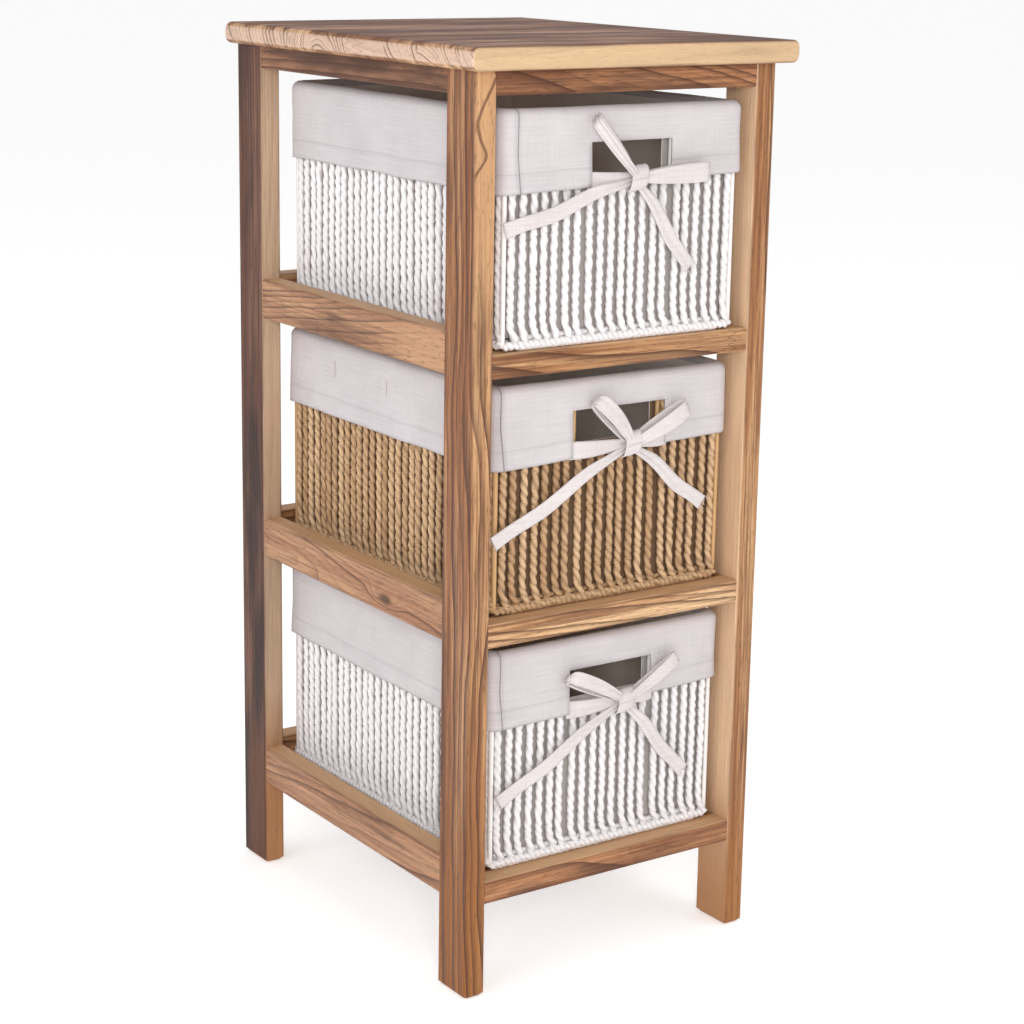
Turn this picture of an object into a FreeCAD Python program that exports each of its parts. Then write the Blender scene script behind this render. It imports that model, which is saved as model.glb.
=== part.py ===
import FreeCAD, Part
import os
import re
import Sketcher
from FreeCAD import Placement, Rotation, Vector

# Slim wooden unit with three lined rope baskets that slide on runners.
# Millimetres. Z is up, the baskets pull out towards -Y, and the origin lies on the floor
# under the middle of the tabletop.

SIZES = [
    # Tabletop
    ("top_width", 260, "tabletop along X"),
    ("top_depth", 320, "tabletop along Y"),
    ("top_thickness", 15, "tabletop board"),
    ("side_overhang", 10, "tabletop beyond the legs at each side"),
    ("front_overhang", 12, "tabletop beyond the legs at the front, flush at the back"),
    ("top_end_round", 5.5, "round of the tabletop's two side edges"),
    ("top_edge_bevel", 1.2, "eased front and back edges of the tabletop"),
    # Legs and rails
    ("leg_thickness", 16, "leg along X"),
    ("leg_width", 33, "leg along Y"),
    ("leg_edge_bevel", 1.2, "eased leg edges"),
    ("foot_chamfer", 2.5, "bevel round the foot of a leg"),
    ("first_level", 65, "underside of the lowest rails above the floor"),
    ("level_pitch", 178, "one basket level to the next"),
    ("rail_inset", 1, "rails set back from the leg faces"),
    ("front_rail_height", 16, "front rails"),
    ("side_rail_height", 28, "side and back rails of the three levels"),
    ("top_rail_height", 16, "rails under the tabletop"),
    ("rail_thickness", 16, "front and back rails along Y"),
    ("rail_edge_bevel", 1, "eased rail and runner edges"),
    ("tenon_length", 10, "stub tenon into the leg"),
    ("tenon_shoulder", 4, "shoulder round a tenon"),
    ("joint_clearance", 0.1, "mortise larger than its tenon on each side"),
    # Runners and screws
    ("runner_width", 20, "basket runner along X"),
    ("runner_thickness", 12, "basket runner along Z"),
    ("screw_shank_radius", 1.75, "tabletop screw"),
    ("screw_head_radius", 3.5, "tabletop screw head"),
    ("screw_head_height", 2.5, "pan head"),
    ("screw_recess", 4, "depth of the head in the rail"),
    ("screw_bite", 10, "screw length in the tabletop"),
    ("screw_end_distance", 55, "screw from the end of its rail"),
    ("screw_clearance", 0.3, "hole larger than the screw all round"),
    # Baskets
    ("basket_side_gap", 6.5, "basket to the leg at each side"),
    ("basket_setback", 11.5, "basket front behind the leg fronts"),
    ("basket_back_gap", 7.5, "basket back to the back rail"),
    ("basket_headroom", 9, "basket rim below the rail above"),
    ("basket_corner", 5, "bevel of the basket corners seen from above"),
    ("top_basket_pull", 9.5, "top basket stands this far forward"),
    ("top_basket_shift", -0.5, "top basket off centre to the right"),
    ("lower_basket_shift", 2.5, "middle and bottom baskets off centre to the right"),
    ("soft_clearance", 0.3, "soft pieces at rest on their neighbours"),
    ("cloth_thickness", 1.2, "liner cloth with its turned hem"),
    ("cuff_drop", 52, "liner folded over the rim"),
    ("rim_bevel", 1.5, "fold of the cloth along the rim"),
    ("notch_rise", 30, "handle notch above the hem of the cuff"),
    ("notch_width", 72, "handle notch in the cuff"),
    ("notch_round", 5, "upper corners of the handle notch"),
    ("rope_width", 6, "wall rope, six sided"),
    ("wrap_width", 8, "rope wrapped round the rim and bottom wires"),
    ("wire_width", 3.2, "basket wire"),
    ("wire_clearance", 0.15, "wrapped rope round its wire"),
    ("strand_gap", 0.6, "wall rope to a standing wire"),
    ("rope_pitch", 8.4, "least spacing of the wall ropes"),
    ("floor_rope_pitch", 10.2, "least spacing of the floor ropes"),
    ("handle_width", 70, "handle wire between its legs, to whole rope steps"),
    ("handle_drop", 48, "handle wire below the rim"),
    # Ribbon bows
    ("ribbon_width", 10, "ribbon"),
    ("ribbon_thickness", 1, "ribbon"),
    ("ribbon_stand_off", 1.2, "loops and tails in front of the cuff"),
    ("knot_width", 11, "knot along X"),
    ("knot_height", 12, "knot along Z"),
    ("knot_depth", 9, "knot along Y"),
    ("knot_bevel", 2.5, "knot edges"),
    ("loop_depth", 8, "bow loop along Y"),
    # Each bow: knot off the handle's middle, then length and angle of its loops and tails
    ("top_knot_offset", 0.4, "top bow"),
    ("top_left_loop_length", 54, "top bow"),
    ("top_left_loop_angle", 131, "top bow"),
    ("top_right_loop_length", 58, "top bow"),
    ("top_right_loop_angle", 2, "top bow"),
    ("top_left_tail_length", 92, "top bow"),
    ("top_left_tail_angle", 197, "top bow"),
    ("top_right_tail_length", 80, "top bow"),
    ("top_right_tail_angle", 308, "top bow"),
    ("middle_knot_offset", 7, "middle bow"),
    ("middle_left_loop_length", 46, "middle bow"),
    ("middle_left_loop_angle", 134, "middle bow"),
    ("middle_right_loop_length", 52, "middle bow"),
    ("middle_right_loop_angle", 25, "middle bow"),
    ("middle_left_tail_length", 118, "middle bow"),
    ("middle_left_tail_angle", 207, "middle bow"),
    ("middle_right_tail_length", 82, "middle bow"),
    ("middle_right_tail_angle", 323, "middle bow"),
    ("bottom_knot_offset", 8, "bottom bow"),
    ("bottom_left_loop_length", 54, "bottom bow"),
    ("bottom_left_loop_angle", 155, "bottom bow"),
    ("bottom_right_loop_length", 50, "bottom bow"),
    ("bottom_right_loop_angle", 31, "bottom bow"),
    ("bottom_left_tail_length", 112, "bottom bow"),
    ("bottom_left_tail_angle", 210, "bottom bow"),
    ("bottom_right_tail_length", 84, "bottom bow"),
    ("bottom_right_tail_angle", 311, "bottom bow"),
]
SIZE_NAMES = {name for name, value, note in SIZES}
LEVELS = 3
EDGE_TOLERANCE = 1e-4
ROPE_SIDES = 6
WIRE_SIDES = 8

# Places worked out from the sizes
FRAME_WIDTH = "(top_width - 2 * side_overhang)"
FRAME_DEPTH = "(top_depth - front_overhang)"
FRAME_FRONT = "(front_overhang - top_depth / 2)"
FRAME_BACK = "(top_depth / 2)"
CLEAR_WIDTH = f"({FRAME_WIDTH} - 2 * leg_thickness)"
SIDE_RAIL_LENGTH = f"({FRAME_DEPTH} - 2 * leg_width)"
SIDE_RAIL_THICKNESS = "(leg_thickness - rail_inset)"
LEG_HEIGHT = f"(first_level + {LEVELS} * level_pitch + top_rail_height)"
TOP_LEVEL = f"({LEG_HEIGHT} - top_rail_height)"
RUNNER_LENGTH = f"({FRAME_DEPTH} - 2 * rail_inset - 2 * rail_thickness)"

BASKET_WIDTH = f"({CLEAR_WIDTH} - 2 * basket_side_gap)"
BASKET_DEPTH = f"({FRAME_DEPTH} - basket_setback - basket_back_gap - rail_inset - rail_thickness)"
BASKET_HEIGHT = "(level_pitch - front_rail_height - basket_headroom)"
BASKET_MIDDLE_Y = f"({FRAME_FRONT} + basket_setback + {BASKET_DEPTH} / 2)"
ROPE_PLANE = "(cloth_thickness + soft_clearance + wrap_width / 2)"
POST_X = f"({BASKET_WIDTH} / 2 - {ROPE_PLANE})"
POST_Y = f"({BASKET_DEPTH} / 2 - {ROPE_PLANE})"
RIM_AXIS = f"({BASKET_HEIGHT} - {ROPE_PLANE})"
BOTTOM_AXIS = "(wrap_width / 2)"
HANDLE_AXIS = f"({BASKET_HEIGHT} - handle_drop)"
WRAP_END = "(wrap_width / 2 + soft_clearance)"
STRAND_END = "(wire_width / 2 + strand_gap + rope_width / 2)"
LINK_END = "(wrap_width / 2 + soft_clearance + rope_width / 2)"
# Room between the first and the last rope of each wall and of the floor
BACK_ROOM = f"(2 * {POST_X} - 2 * {STRAND_END})"
SIDE_ROOM = f"(2 * {POST_Y} - 2 * {STRAND_END})"
FLOOR_ROOM = f"(2 * {POST_X} - 2 * {LINK_END})"
# In the front wall two wider steps take the legs of the handle wire
HANDLE_STEP = "(rope_width + wire_width + 2 * strand_gap)"
FRONT_ROOM = f"({BACK_ROOM} - 2 * {HANDLE_STEP})"
ROPE_HALF_DEPTH = "(rope_width * cos(30 deg) / 2)"
BAG_WIDTH = f"(2 * {POST_X} - wrap_width - 2 * soft_clearance)"
BAG_DEPTH = f"(2 * {POST_Y} - wrap_width - 2 * soft_clearance)"
BAG_FLOOR = f"({BOTTOM_AXIS} + {ROPE_HALF_DEPTH} + soft_clearance)"
# A bevelled corner keeps the cloth's thickness when its bevel shrinks by this much
BEVEL_STEP = "(cloth_thickness * (2 - sqrt(2)))"
HEM = f"({BASKET_HEIGHT} - cuff_drop)"

doc = FreeCAD.newDocument("drawer_unit")
sheet = doc.addObject("Spreadsheet::Sheet", "Sizes")
for row, (size_name, size_value, size_note) in enumerate(SIZES, start=1):
    sheet.set(f"A{row}", size_note)
    sheet.set(f"B{row}", str(size_value))
    sheet.setAlias(f"B{row}", size_name)
doc.recompute()
nodes = []


def in_sheet(formula):
    """The formula with each size name pointing into the sheet."""

    def point(word):
        return f"Sizes.{word[0]}" if word[0] in SIZE_NAMES else word[0]

    return re.sub(r"[a-z_]+", point, formula)


def value(formula):
    """The formula worked out with the sheet's sizes."""
    return float(doc.Sizes.evalExpression(in_sheet(formula)))


def steps_in(room, pitch):
    """How many whole rope steps fit in a room."""
    return int(value(f"{room} / {pitch}"))


# Ropes of the front wall left of the handle, below it and right of it, and the rope steps elsewhere
FRONT_STEPS = steps_in(FRONT_ROOM, "rope_pitch")
BACK_STEPS = steps_in(BACK_ROOM, "rope_pitch")
SIDE_STEPS = steps_in(SIDE_ROOM, "rope_pitch")
FLOOR_STEPS = steps_in(FLOOR_ROOM, "floor_rope_pitch")
HANDLE_STRANDS = steps_in(f"(handle_width - {HANDLE_STEP})", "rope_pitch") + 1
HANDLE_RIGHT_STRANDS = (FRONT_STEPS + 3 - HANDLE_STRANDS) // 2
HANDLE_LEFT_STRANDS = FRONT_STEPS + 3 - HANDLE_STRANDS - HANDLE_RIGHT_STRANDS
FRONT_PITCH = f"({FRONT_ROOM} / {FRONT_STEPS})"
FRONT_START = f"({STRAND_END} - {POST_X})"
HANDLE_LEFT = f"({FRONT_START} + {HANDLE_LEFT_STRANDS - 1} * {FRONT_PITCH} + {HANDLE_STEP} / 2)"
HANDLE_SPAN = f"({HANDLE_STRANDS - 1} * {FRONT_PITCH} + {HANDLE_STEP})"
HANDLE_RIGHT = f"({HANDLE_LEFT} + {HANDLE_SPAN})"
HANDLE_MIDDLE = f"({HANDLE_LEFT} + {HANDLE_SPAN} / 2)"


def bind(thing, **formulas):
    """Bind properties to the sheet. A double underscore stands for a dot."""
    for name, formula in formulas.items():
        thing.setExpression(name.replace("__", "."), in_sheet(formula))


def place(thing, x="0", y="0", z="0", rotation=None):
    """Set the turn of an object and bind its place."""
    thing.Placement = Placement(Vector(), rotation or Rotation())
    bind(thing, Placement__Base__x=x, Placement__Base__y=y, Placement__Base__z=z)


def finish(thing, label):
    """Name a finished piece and list it for writing."""
    thing.Label = label
    nodes.append(thing)
    return thing


def new_sketch(body, name, plane, offset="0"):
    """A sketch on one of the body's own planes, moved along the plane's normal."""
    sketch = body.newObject("Sketcher::SketchObject", name)
    origin_plane = next(f for f in body.Origin.OriginFeatures if f.Role == plane)
    sketch.AttachmentSupport = [(origin_plane, "")]
    sketch.MapMode = "FlatFace"
    bind(sketch, AttachmentOffset__Base__z=offset)
    return sketch


def dimension(sketch, constraint, name, formula):
    """Add a sized constraint and bind it."""
    index = sketch.addConstraint(constraint)
    sketch.renameConstraint(index, name)
    bind(sketch, **{f"Constraints__{name}": formula})


def rectangle(sketch, left, bottom, width, height, tag=""):
    """A sharp rectangle with its lower left corner at the given place."""
    x, y, w, h = (value(f) for f in (left, bottom, width, height))
    corners = [Vector(x, y), Vector(x + w, y), Vector(x + w, y + h), Vector(x, y + h)]
    first = sketch.GeometryCount
    for start, end in zip(corners, corners[1:] + corners[:1]):
        sketch.addGeometry(Part.LineSegment(start, end))
    low, right, high, far = range(first, first + 4)
    for one, other in ((low, right), (right, high), (high, far), (far, low)):
        sketch.addConstraint(Sketcher.Constraint("Coincident", one, 2, other, 1))
    for line, way in ((low, "Horizontal"), (high, "Horizontal"), (right, "Vertical"), (far, "Vertical")):
        sketch.addConstraint(Sketcher.Constraint(way, line))
    dimension(sketch, Sketcher.Constraint("DistanceX", low, 1, low, 2, w), f"width{tag}", width)
    dimension(sketch, Sketcher.Constraint("DistanceY", right, 1, right, 2, h), f"height{tag}", height)
    dimension(sketch, Sketcher.Constraint("DistanceX", -1, 1, low, 1, x), f"left{tag}", left)
    dimension(sketch, Sketcher.Constraint("DistanceY", -1, 1, low, 1, y), f"bottom{tag}", bottom)


def rounded_rectangle(sketch, left, bottom, width, height, radius, tag=""):
    """A rectangle with round corners, its lower left corner at the given place."""
    x, y, w, h, r = (value(f) for f in (left, bottom, width, height, radius))
    first = sketch.GeometryCount
    normal = Vector(0, 0, 1)
    quarter = FreeCAD.Units.Quantity("90 deg").getValueAs("rad").Value
    lines = [
        (Vector(x + r, y), Vector(x + w - r, y)),
        (Vector(x + w, y + r), Vector(x + w, y + h - r)),
        (Vector(x + w - r, y + h), Vector(x + r, y + h)),
        (Vector(x, y + h - r), Vector(x, y + r)),
    ]
    centres = [
        Vector(x + w - r, y + r),
        Vector(x + w - r, y + h - r),
        Vector(x + r, y + h - r),
        Vector(x + r, y + r),
    ]
    for step, ((start, end), centre) in enumerate(zip(lines, centres)):
        sketch.addGeometry(Part.LineSegment(start, end))
        circle = Part.Circle(centre, normal, r)
        sketch.addGeometry(Part.ArcOfCircle(circle, (step - 1) * quarter, step * quarter))
    for step in range(4):
        line = first + 2 * step
        arc = line + 1
        following = first + (2 * step + 2) % 8
        sketch.addConstraint(Sketcher.Constraint("Tangent", line, 2, arc, 1))
        sketch.addConstraint(Sketcher.Constraint("Tangent", arc, 2, following, 1))
        sketch.addConstraint(Sketcher.Constraint("Horizontal" if step % 2 == 0 else "Vertical", line))
        if step:
            sketch.addConstraint(Sketcher.Constraint("Equal", first + 1, arc))
    low, right, far = first, first + 2, first + 6
    dimension(sketch, Sketcher.Constraint("Radius", first + 1, r), f"radius{tag}", radius)
    dimension(sketch, Sketcher.Constraint("DistanceX", far, 2, right, 1, w), f"width{tag}", width)
    dimension(sketch, Sketcher.Constraint("DistanceY", low, 1, first + 4, 2, h), f"height{tag}", height)
    dimension(sketch, Sketcher.Constraint("DistanceX", -1, 1, far, 2, x), f"left{tag}", left)
    dimension(sketch, Sketcher.Constraint("DistanceY", -1, 1, low, 1, y), f"bottom{tag}", bottom)


def bevelled_rectangle(sketch, left, bottom, width, height, bevel):
    """A rectangle with its corners cut off, its lower left corner at the given place."""
    x, y, w, h, b = (value(f) for f in (left, bottom, width, height, bevel))
    corners = [
        Vector(x + b, y),
        Vector(x + w - b, y),
        Vector(x + w, y + b),
        Vector(x + w, y + h - b),
        Vector(x + w - b, y + h),
        Vector(x + b, y + h),
        Vector(x, y + h - b),
        Vector(x, y + b),
    ]
    first = sketch.GeometryCount
    for start, end in zip(corners, corners[1:] + corners[:1]):
        sketch.addGeometry(Part.LineSegment(start, end))
    lines = list(range(first, first + len(corners)))
    for one, other in zip(lines, lines[1:] + lines[:1]):
        sketch.addConstraint(Sketcher.Constraint("Coincident", one, 2, other, 1))
    low, low_right, right, high_right, high, high_left, far, low_left = lines
    for line, way in ((low, "Horizontal"), (high, "Horizontal"), (right, "Vertical"), (far, "Vertical")):
        sketch.addConstraint(Sketcher.Constraint(way, line))
    dimension(sketch, Sketcher.Constraint("DistanceX", far, 2, right, 1, w), f"width{first}", width)
    dimension(sketch, Sketcher.Constraint("DistanceY", low, 1, high, 2, h), f"height{first}", height)
    dimension(sketch, Sketcher.Constraint("DistanceX", -1, 1, far, 2, x), f"left{first}", left)
    dimension(sketch, Sketcher.Constraint("DistanceY", -1, 1, low, 1, y), f"bottom{first}", bottom)
    # Each cut corner runs from its start to its end, or back, by the bevel both ways
    cuts = ((low_right, 1, 1), (high_right, 2, 1), (high_left, 2, 2), (low_left, 1, 2))
    for line, start_x, start_y in cuts:
        across = Sketcher.Constraint("DistanceX", line, start_x, line, 3 - start_x, b)
        upward = Sketcher.Constraint("DistanceY", line, start_y, line, 3 - start_y, b)
        dimension(sketch, across, f"bevel_x{line}", bevel)
        dimension(sketch, upward, f"bevel_y{line}", bevel)


def centred(size):
    return f"(-{size} / 2)"


def pad(body, name, sketch, length):
    """Raise a sketch along its normal."""
    feature = body.newObject("PartDesign::Pad", name)
    feature.Profile = sketch
    bind(feature, Length=length)
    sketch.Visibility = False
    return feature


def pocket(body, name, sketch, length, reverse=False):
    """Cut a sketch against its normal, or along it when reversed, and test that it cut."""
    doc.recompute()
    before = body.Shape.Volume
    feature = body.newObject("PartDesign::Pocket", name)
    feature.Profile = sketch
    feature.Reversed = reverse
    bind(feature, Length=length)
    sketch.Visibility = False
    doc.recompute()
    if body.Shape.Volume >= before:
        raise RuntimeError(f"{body.Name}: {name} cuts nothing")
    return feature


def edges_at(shape, axis, place_on_axis):
    """Names of the edges that lie in the plane across an axis at a place."""
    names = []
    for index, edge in enumerate(shape.Edges, start=1):
        ends = (getattr(edge.BoundBox, f"{axis}Min"), getattr(edge.BoundBox, f"{axis}Max"))
        if all(abs(end - place_on_axis) < EDGE_TOLERANCE for end in ends):
            names.append(f"Edge{index}")
    return names


def bevel_edges(body, name, base, edges, size):
    """Chamfer the named edges of a feature."""
    chamfer = body.newObject("PartDesign::Chamfer", name)
    chamfer.Base = (base, edges)
    bind(chamfer, Size=size)


def repeat_upwards(body, feature, name, pitch, count):
    """Copy a cut to the levels above."""
    pattern = body.newObject("PartDesign::LinearPattern", name)
    pattern.Originals = [feature]
    upward = next(f for f in body.Origin.OriginFeatures if f.Role == "Z_Axis")
    pattern.Direction = (upward, [""])
    pattern.Occurrences = count
    bind(pattern, Length=f"{pitch} * {count - 1}")
    body.Tip = pattern
    return pattern


def make_tabletop():
    body = doc.addObject("PartDesign::Body", "Tabletop")
    profile = new_sketch(body, "TabletopProfile", "XZ_Plane", "top_depth / 2")
    rounded_rectangle(profile, centred("top_width"), "0", "top_width", "top_thickness", "top_end_round")
    board = pad(body, "TabletopBoard", profile, "top_depth")
    board.Reversed = True
    doc.recompute()
    half_depth = value("top_depth / 2")
    edges = edges_at(board.Shape, "Y", -half_depth) + edges_at(board.Shape, "Y", half_depth)
    bevel_edges(body, "TabletopEdges", board, edges, "top_edge_bevel")
    holes = new_sketch(body, "TabletopScrewHoles", "XY_Plane")
    for index, (x, y) in enumerate(screw_places()):
        circle_at(holes, x, y, "screw_shank_radius + joint_clearance", index)
    pocket(body, "TabletopScrewCuts", holes, "screw_bite + screw_clearance", reverse=True)
    place(body, z=LEG_HEIGHT)
    finish(body, "tabletop")


def circle_at(sketch, x, y, radius, index):
    """A circle at a bound place."""
    centre = Vector(value(x), value(y))
    sketch.addGeometry(Part.Circle(centre, Vector(0, 0, 1), value(radius)))
    dimension(sketch, Sketcher.Constraint("Radius", index, value(radius)), f"radius{index}", radius)
    dimension(sketch, Sketcher.Constraint("DistanceX", -1, 1, index, 3, centre.x), f"x{index}", x)
    dimension(sketch, Sketcher.Constraint("DistanceY", -1, 1, index, 3, centre.y), f"y{index}", y)


def screw_places():
    """The tabletop screws seen from above: two in each top side rail."""
    reach = f"({CLEAR_WIDTH} + {SIDE_RAIL_THICKNESS}) / 2"
    front = f"{FRAME_FRONT} + leg_width + screw_end_distance"
    back = f"{FRAME_BACK} - leg_width - screw_end_distance"
    return [(f"{side} * {reach}", y) for side in (-1, 1) for y in (front, back)]


def make_leg(label, front):
    """A left leg with its mortises. The front leg takes front rails, the other back rails."""
    body = doc.addObject("PartDesign::Body", f"Leg_{label}")
    sole = new_sketch(body, f"{label}_sole", "XY_Plane")
    sole_width = "leg_thickness - 2 * foot_chamfer"
    sole_depth = "leg_width - 2 * foot_chamfer"
    bevelled_rectangle(sole, "foot_chamfer", "foot_chamfer", sole_width, sole_depth, "leg_edge_bevel")
    section = new_sketch(body, f"{label}_section", "XY_Plane", "foot_chamfer")
    bevelled_rectangle(section, "0", "0", "leg_thickness", "leg_width", "leg_edge_bevel")
    foot = body.newObject("PartDesign::AdditiveLoft", f"{label}_foot")
    foot.Profile = sole
    foot.Sections = [section]
    foot.Ruled = True
    pad(body, f"{label}_post", section, f"{LEG_HEIGHT} - foot_chamfer")
    depth = "tenon_length + joint_clearance"

    def mortise(name, plane, offset, low, width, level, height, levels, reverse=False):
        sketch = new_sketch(body, f"{label}_{name}", plane, offset)
        rectangle(
            sketch,
            f"{low} - joint_clearance",
            f"{level} + tenon_shoulder - joint_clearance",
            f"{width} + 2 * joint_clearance",
            f"{height} - 2 * tenon_shoulder + 2 * joint_clearance",
        )
        cut = pocket(body, f"{label}_{name}_cut", sketch, depth, reverse)
        if levels > 1:
            repeat_upwards(body, cut, f"{label}_{name}_levels", "level_pitch", levels)

    cross_low = "rail_inset + tenon_shoulder"
    if not front:
        cross_low = "leg_width - rail_inset - rail_thickness + tenon_shoulder"
    cross_width = "rail_thickness - 2 * tenon_shoulder"
    cross_height = "front_rail_height" if front else "side_rail_height"
    side_low = "rail_inset + tenon_shoulder"
    side_width = f"{SIDE_RAIL_THICKNESS} - 2 * tenon_shoulder"
    cross = ("YZ_Plane", "leg_thickness", cross_low, cross_width)
    side = ("XZ_Plane", "-leg_width" if front else "0", side_low, side_width)
    mortise("cross", *cross, "first_level", cross_height, LEVELS)
    mortise("cross_top", *cross, TOP_LEVEL, "top_rail_height", 1)
    mortise("side", *side, "first_level", "side_rail_height", LEVELS, front)
    mortise("side_top", *side, TOP_LEVEL, "top_rail_height", 1, front)
    y = FRAME_FRONT if front else f"{FRAME_BACK} - leg_width"
    place(body, x=f"-{FRAME_WIDTH} / 2", y=y)
    return finish(body, f"leg_{label}_left")


def make_legs():
    for label, front in (("front", True), ("back", False)):
        left_leg = make_leg(label, front)
        right_leg = doc.addObject("Part::Mirroring", f"Leg_{label}_right")
        right_leg.Source = left_leg
        right_leg.Normal = Vector(1, 0, 0)
        finish(right_leg, f"leg_{label}_right")


def make_rail(label, length, thickness, height, rotation=None, screws=False, **where):
    """A rail along X with a stub tenon at each end, turned and put in its place."""
    body = doc.addObject("PartDesign::Body", f"Rail_{label}")
    section = new_sketch(body, f"{label}_section", "YZ_Plane")
    bevelled_rectangle(section, "0", "0", thickness, height, "rail_edge_bevel")
    pad(body, f"{label}_bar", section, length)
    tenon = new_sketch(body, f"{label}_tenon", "YZ_Plane", "-tenon_length")
    rectangle(
        tenon,
        "tenon_shoulder",
        "tenon_shoulder",
        f"{thickness} - 2 * tenon_shoulder",
        f"{height} - 2 * tenon_shoulder",
    )
    pad(body, f"{label}_tenons", tenon, f"{length} + 2 * tenon_length")
    if screws:
        cut_screw_holes(body, label, length, thickness, height)
    place(body, rotation=rotation, **where)
    finish(body, label)


def cut_screw_holes(body, label, length, thickness, height):
    """Two holes up through a rail, each with a recess for the screw's head."""
    middle = f"{thickness} / 2"
    ends = ("screw_end_distance", f"{length} - screw_end_distance")
    holes = (
        ("hole", "screw_shank_radius + screw_clearance", height),
        ("recess", "screw_head_radius + screw_clearance", "screw_recess + screw_head_height"),
    )
    for name, radius, depth in holes:
        sketch = new_sketch(body, f"{label}_{name}", "XY_Plane")
        for index, x in enumerate(ends):
            circle_at(sketch, x, middle, radius, index)
        pocket(body, f"{label}_{name}_cut", sketch, depth, reverse=True)


def make_rails():
    along_y = Rotation(Vector(0, 0, 1), 90)
    cross_x = f"-{CLEAR_WIDTH} / 2"
    front_y = f"{FRAME_FRONT} + rail_inset"
    back_y = f"{FRAME_BACK} - rail_inset - rail_thickness"
    side_y = f"{FRAME_FRONT} + leg_width"
    left_x = f"-{CLEAR_WIDTH} / 2"
    right_x = f"{CLEAR_WIDTH} / 2 + {SIDE_RAIL_THICKNESS}"
    names = ("bottom", "lower", "upper", "top")
    for index, name in enumerate(names):
        is_top = name == "top"
        z = TOP_LEVEL if is_top else f"first_level + {index} * level_pitch"
        front_height = "top_rail_height" if is_top else "front_rail_height"
        side_height = "top_rail_height" if is_top else "side_rail_height"
        cross = (CLEAR_WIDTH, "rail_thickness")
        make_rail(f"front_rail_{name}", *cross, front_height, x=cross_x, y=front_y, z=z)
        make_rail(f"back_rail_{name}", *cross, side_height, x=cross_x, y=back_y, z=z)
        for side, x in (("left", left_x), ("right", right_x)):
            make_rail(
                f"{side}_rail_{name}", SIDE_RAIL_LENGTH, SIDE_RAIL_THICKNESS, side_height,
                rotation=along_y, screws=is_top, x=x, y=side_y, z=z,
            )


def make_runners():
    """Strips on the inner faces of the side rails, level with the front rails."""
    left_x = f"-{CLEAR_WIDTH} / 2"
    right_x = f"{CLEAR_WIDTH} / 2 - runner_width"
    y = f"{FRAME_FRONT} + rail_inset + rail_thickness"
    for index, name in enumerate(("bottom", "lower", "upper")):
        z = f"first_level + {index} * level_pitch + front_rail_height - runner_thickness"
        for side, x in (("left", left_x), ("right", right_x)):
            body = doc.addObject("PartDesign::Body", f"Runner_{side}_{name}")
            section = new_sketch(body, f"runner_{side}_{name}_section", "XZ_Plane")
            bevelled_rectangle(section, "0", "0", "runner_width", "runner_thickness", "rail_edge_bevel")
            strip = pad(body, f"runner_{side}_{name}_strip", section, RUNNER_LENGTH)
            strip.Reversed = True
            place(body, x=x, y=y, z=z)
            finish(body, f"{side}_runner_{name}")


def copy_of(source, name, x="0", y="0", z="0"):
    """A placed copy of a piece."""
    copy = doc.addObject("Part::Compound", name)
    copy.Links = [source]
    place(copy, x=x, y=y, z=z)
    return copy


def make_screws():
    """One pan head screw and its four copies."""
    head = rod("Screw_head", "z", "0", "0", "0", "screw_head_height", "screw_head_radius")
    shank_length = "top_rail_height - screw_recess + screw_bite"
    shank = rod("Screw_shank", "z", "0", "0", "0", shank_length, "screw_shank_radius")
    screw = doc.addObject("Part::Fuse", "Screw")
    screw.Base = head
    screw.Tool = shank
    z = f"{TOP_LEVEL} + screw_recess"
    copies = [copy_of(screw, f"Screw_{index}", x, y, z) for index, (x, y) in enumerate(screw_places())]
    group = doc.addObject("Part::Compound", "Screws")
    group.Links = copies
    finish(group, "tabletop_screws")


def winding(name, steps, along, up, first, pitch, low, high):
    """One rope led up and down in a wall: strands one step apart, joined at their ends in turn."""
    points = []
    for index in range(steps + 1):
        foot = first + along * (pitch * index) + up * low
        head = first + along * (pitch * index) + up * high
        points += [foot, head] if index % 2 == 0 else [head, foot]
    path = doc.addObject("Part::Feature", f"{name}_path")
    path.Shape = Part.makePolygon(points)
    section = doc.addObject("Part::RegularPolygon", f"{name}_section")
    section.Polygon = ROPE_SIDES
    bind(section, Circumradius="rope_width / 2")
    section.Placement = Placement(points[0], Rotation(along, along.cross(up), up, "ZXY"))
    rope = doc.addObject("Part::Sweep", name)
    rope.Sections = [section]
    rope.Spine = (path, [f"Edge{index + 1}" for index in range(len(points) - 1)])
    rope.Solid = True
    rope.Frenet = False
    rope.Transition = "Right corner"
    return rope


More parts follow.
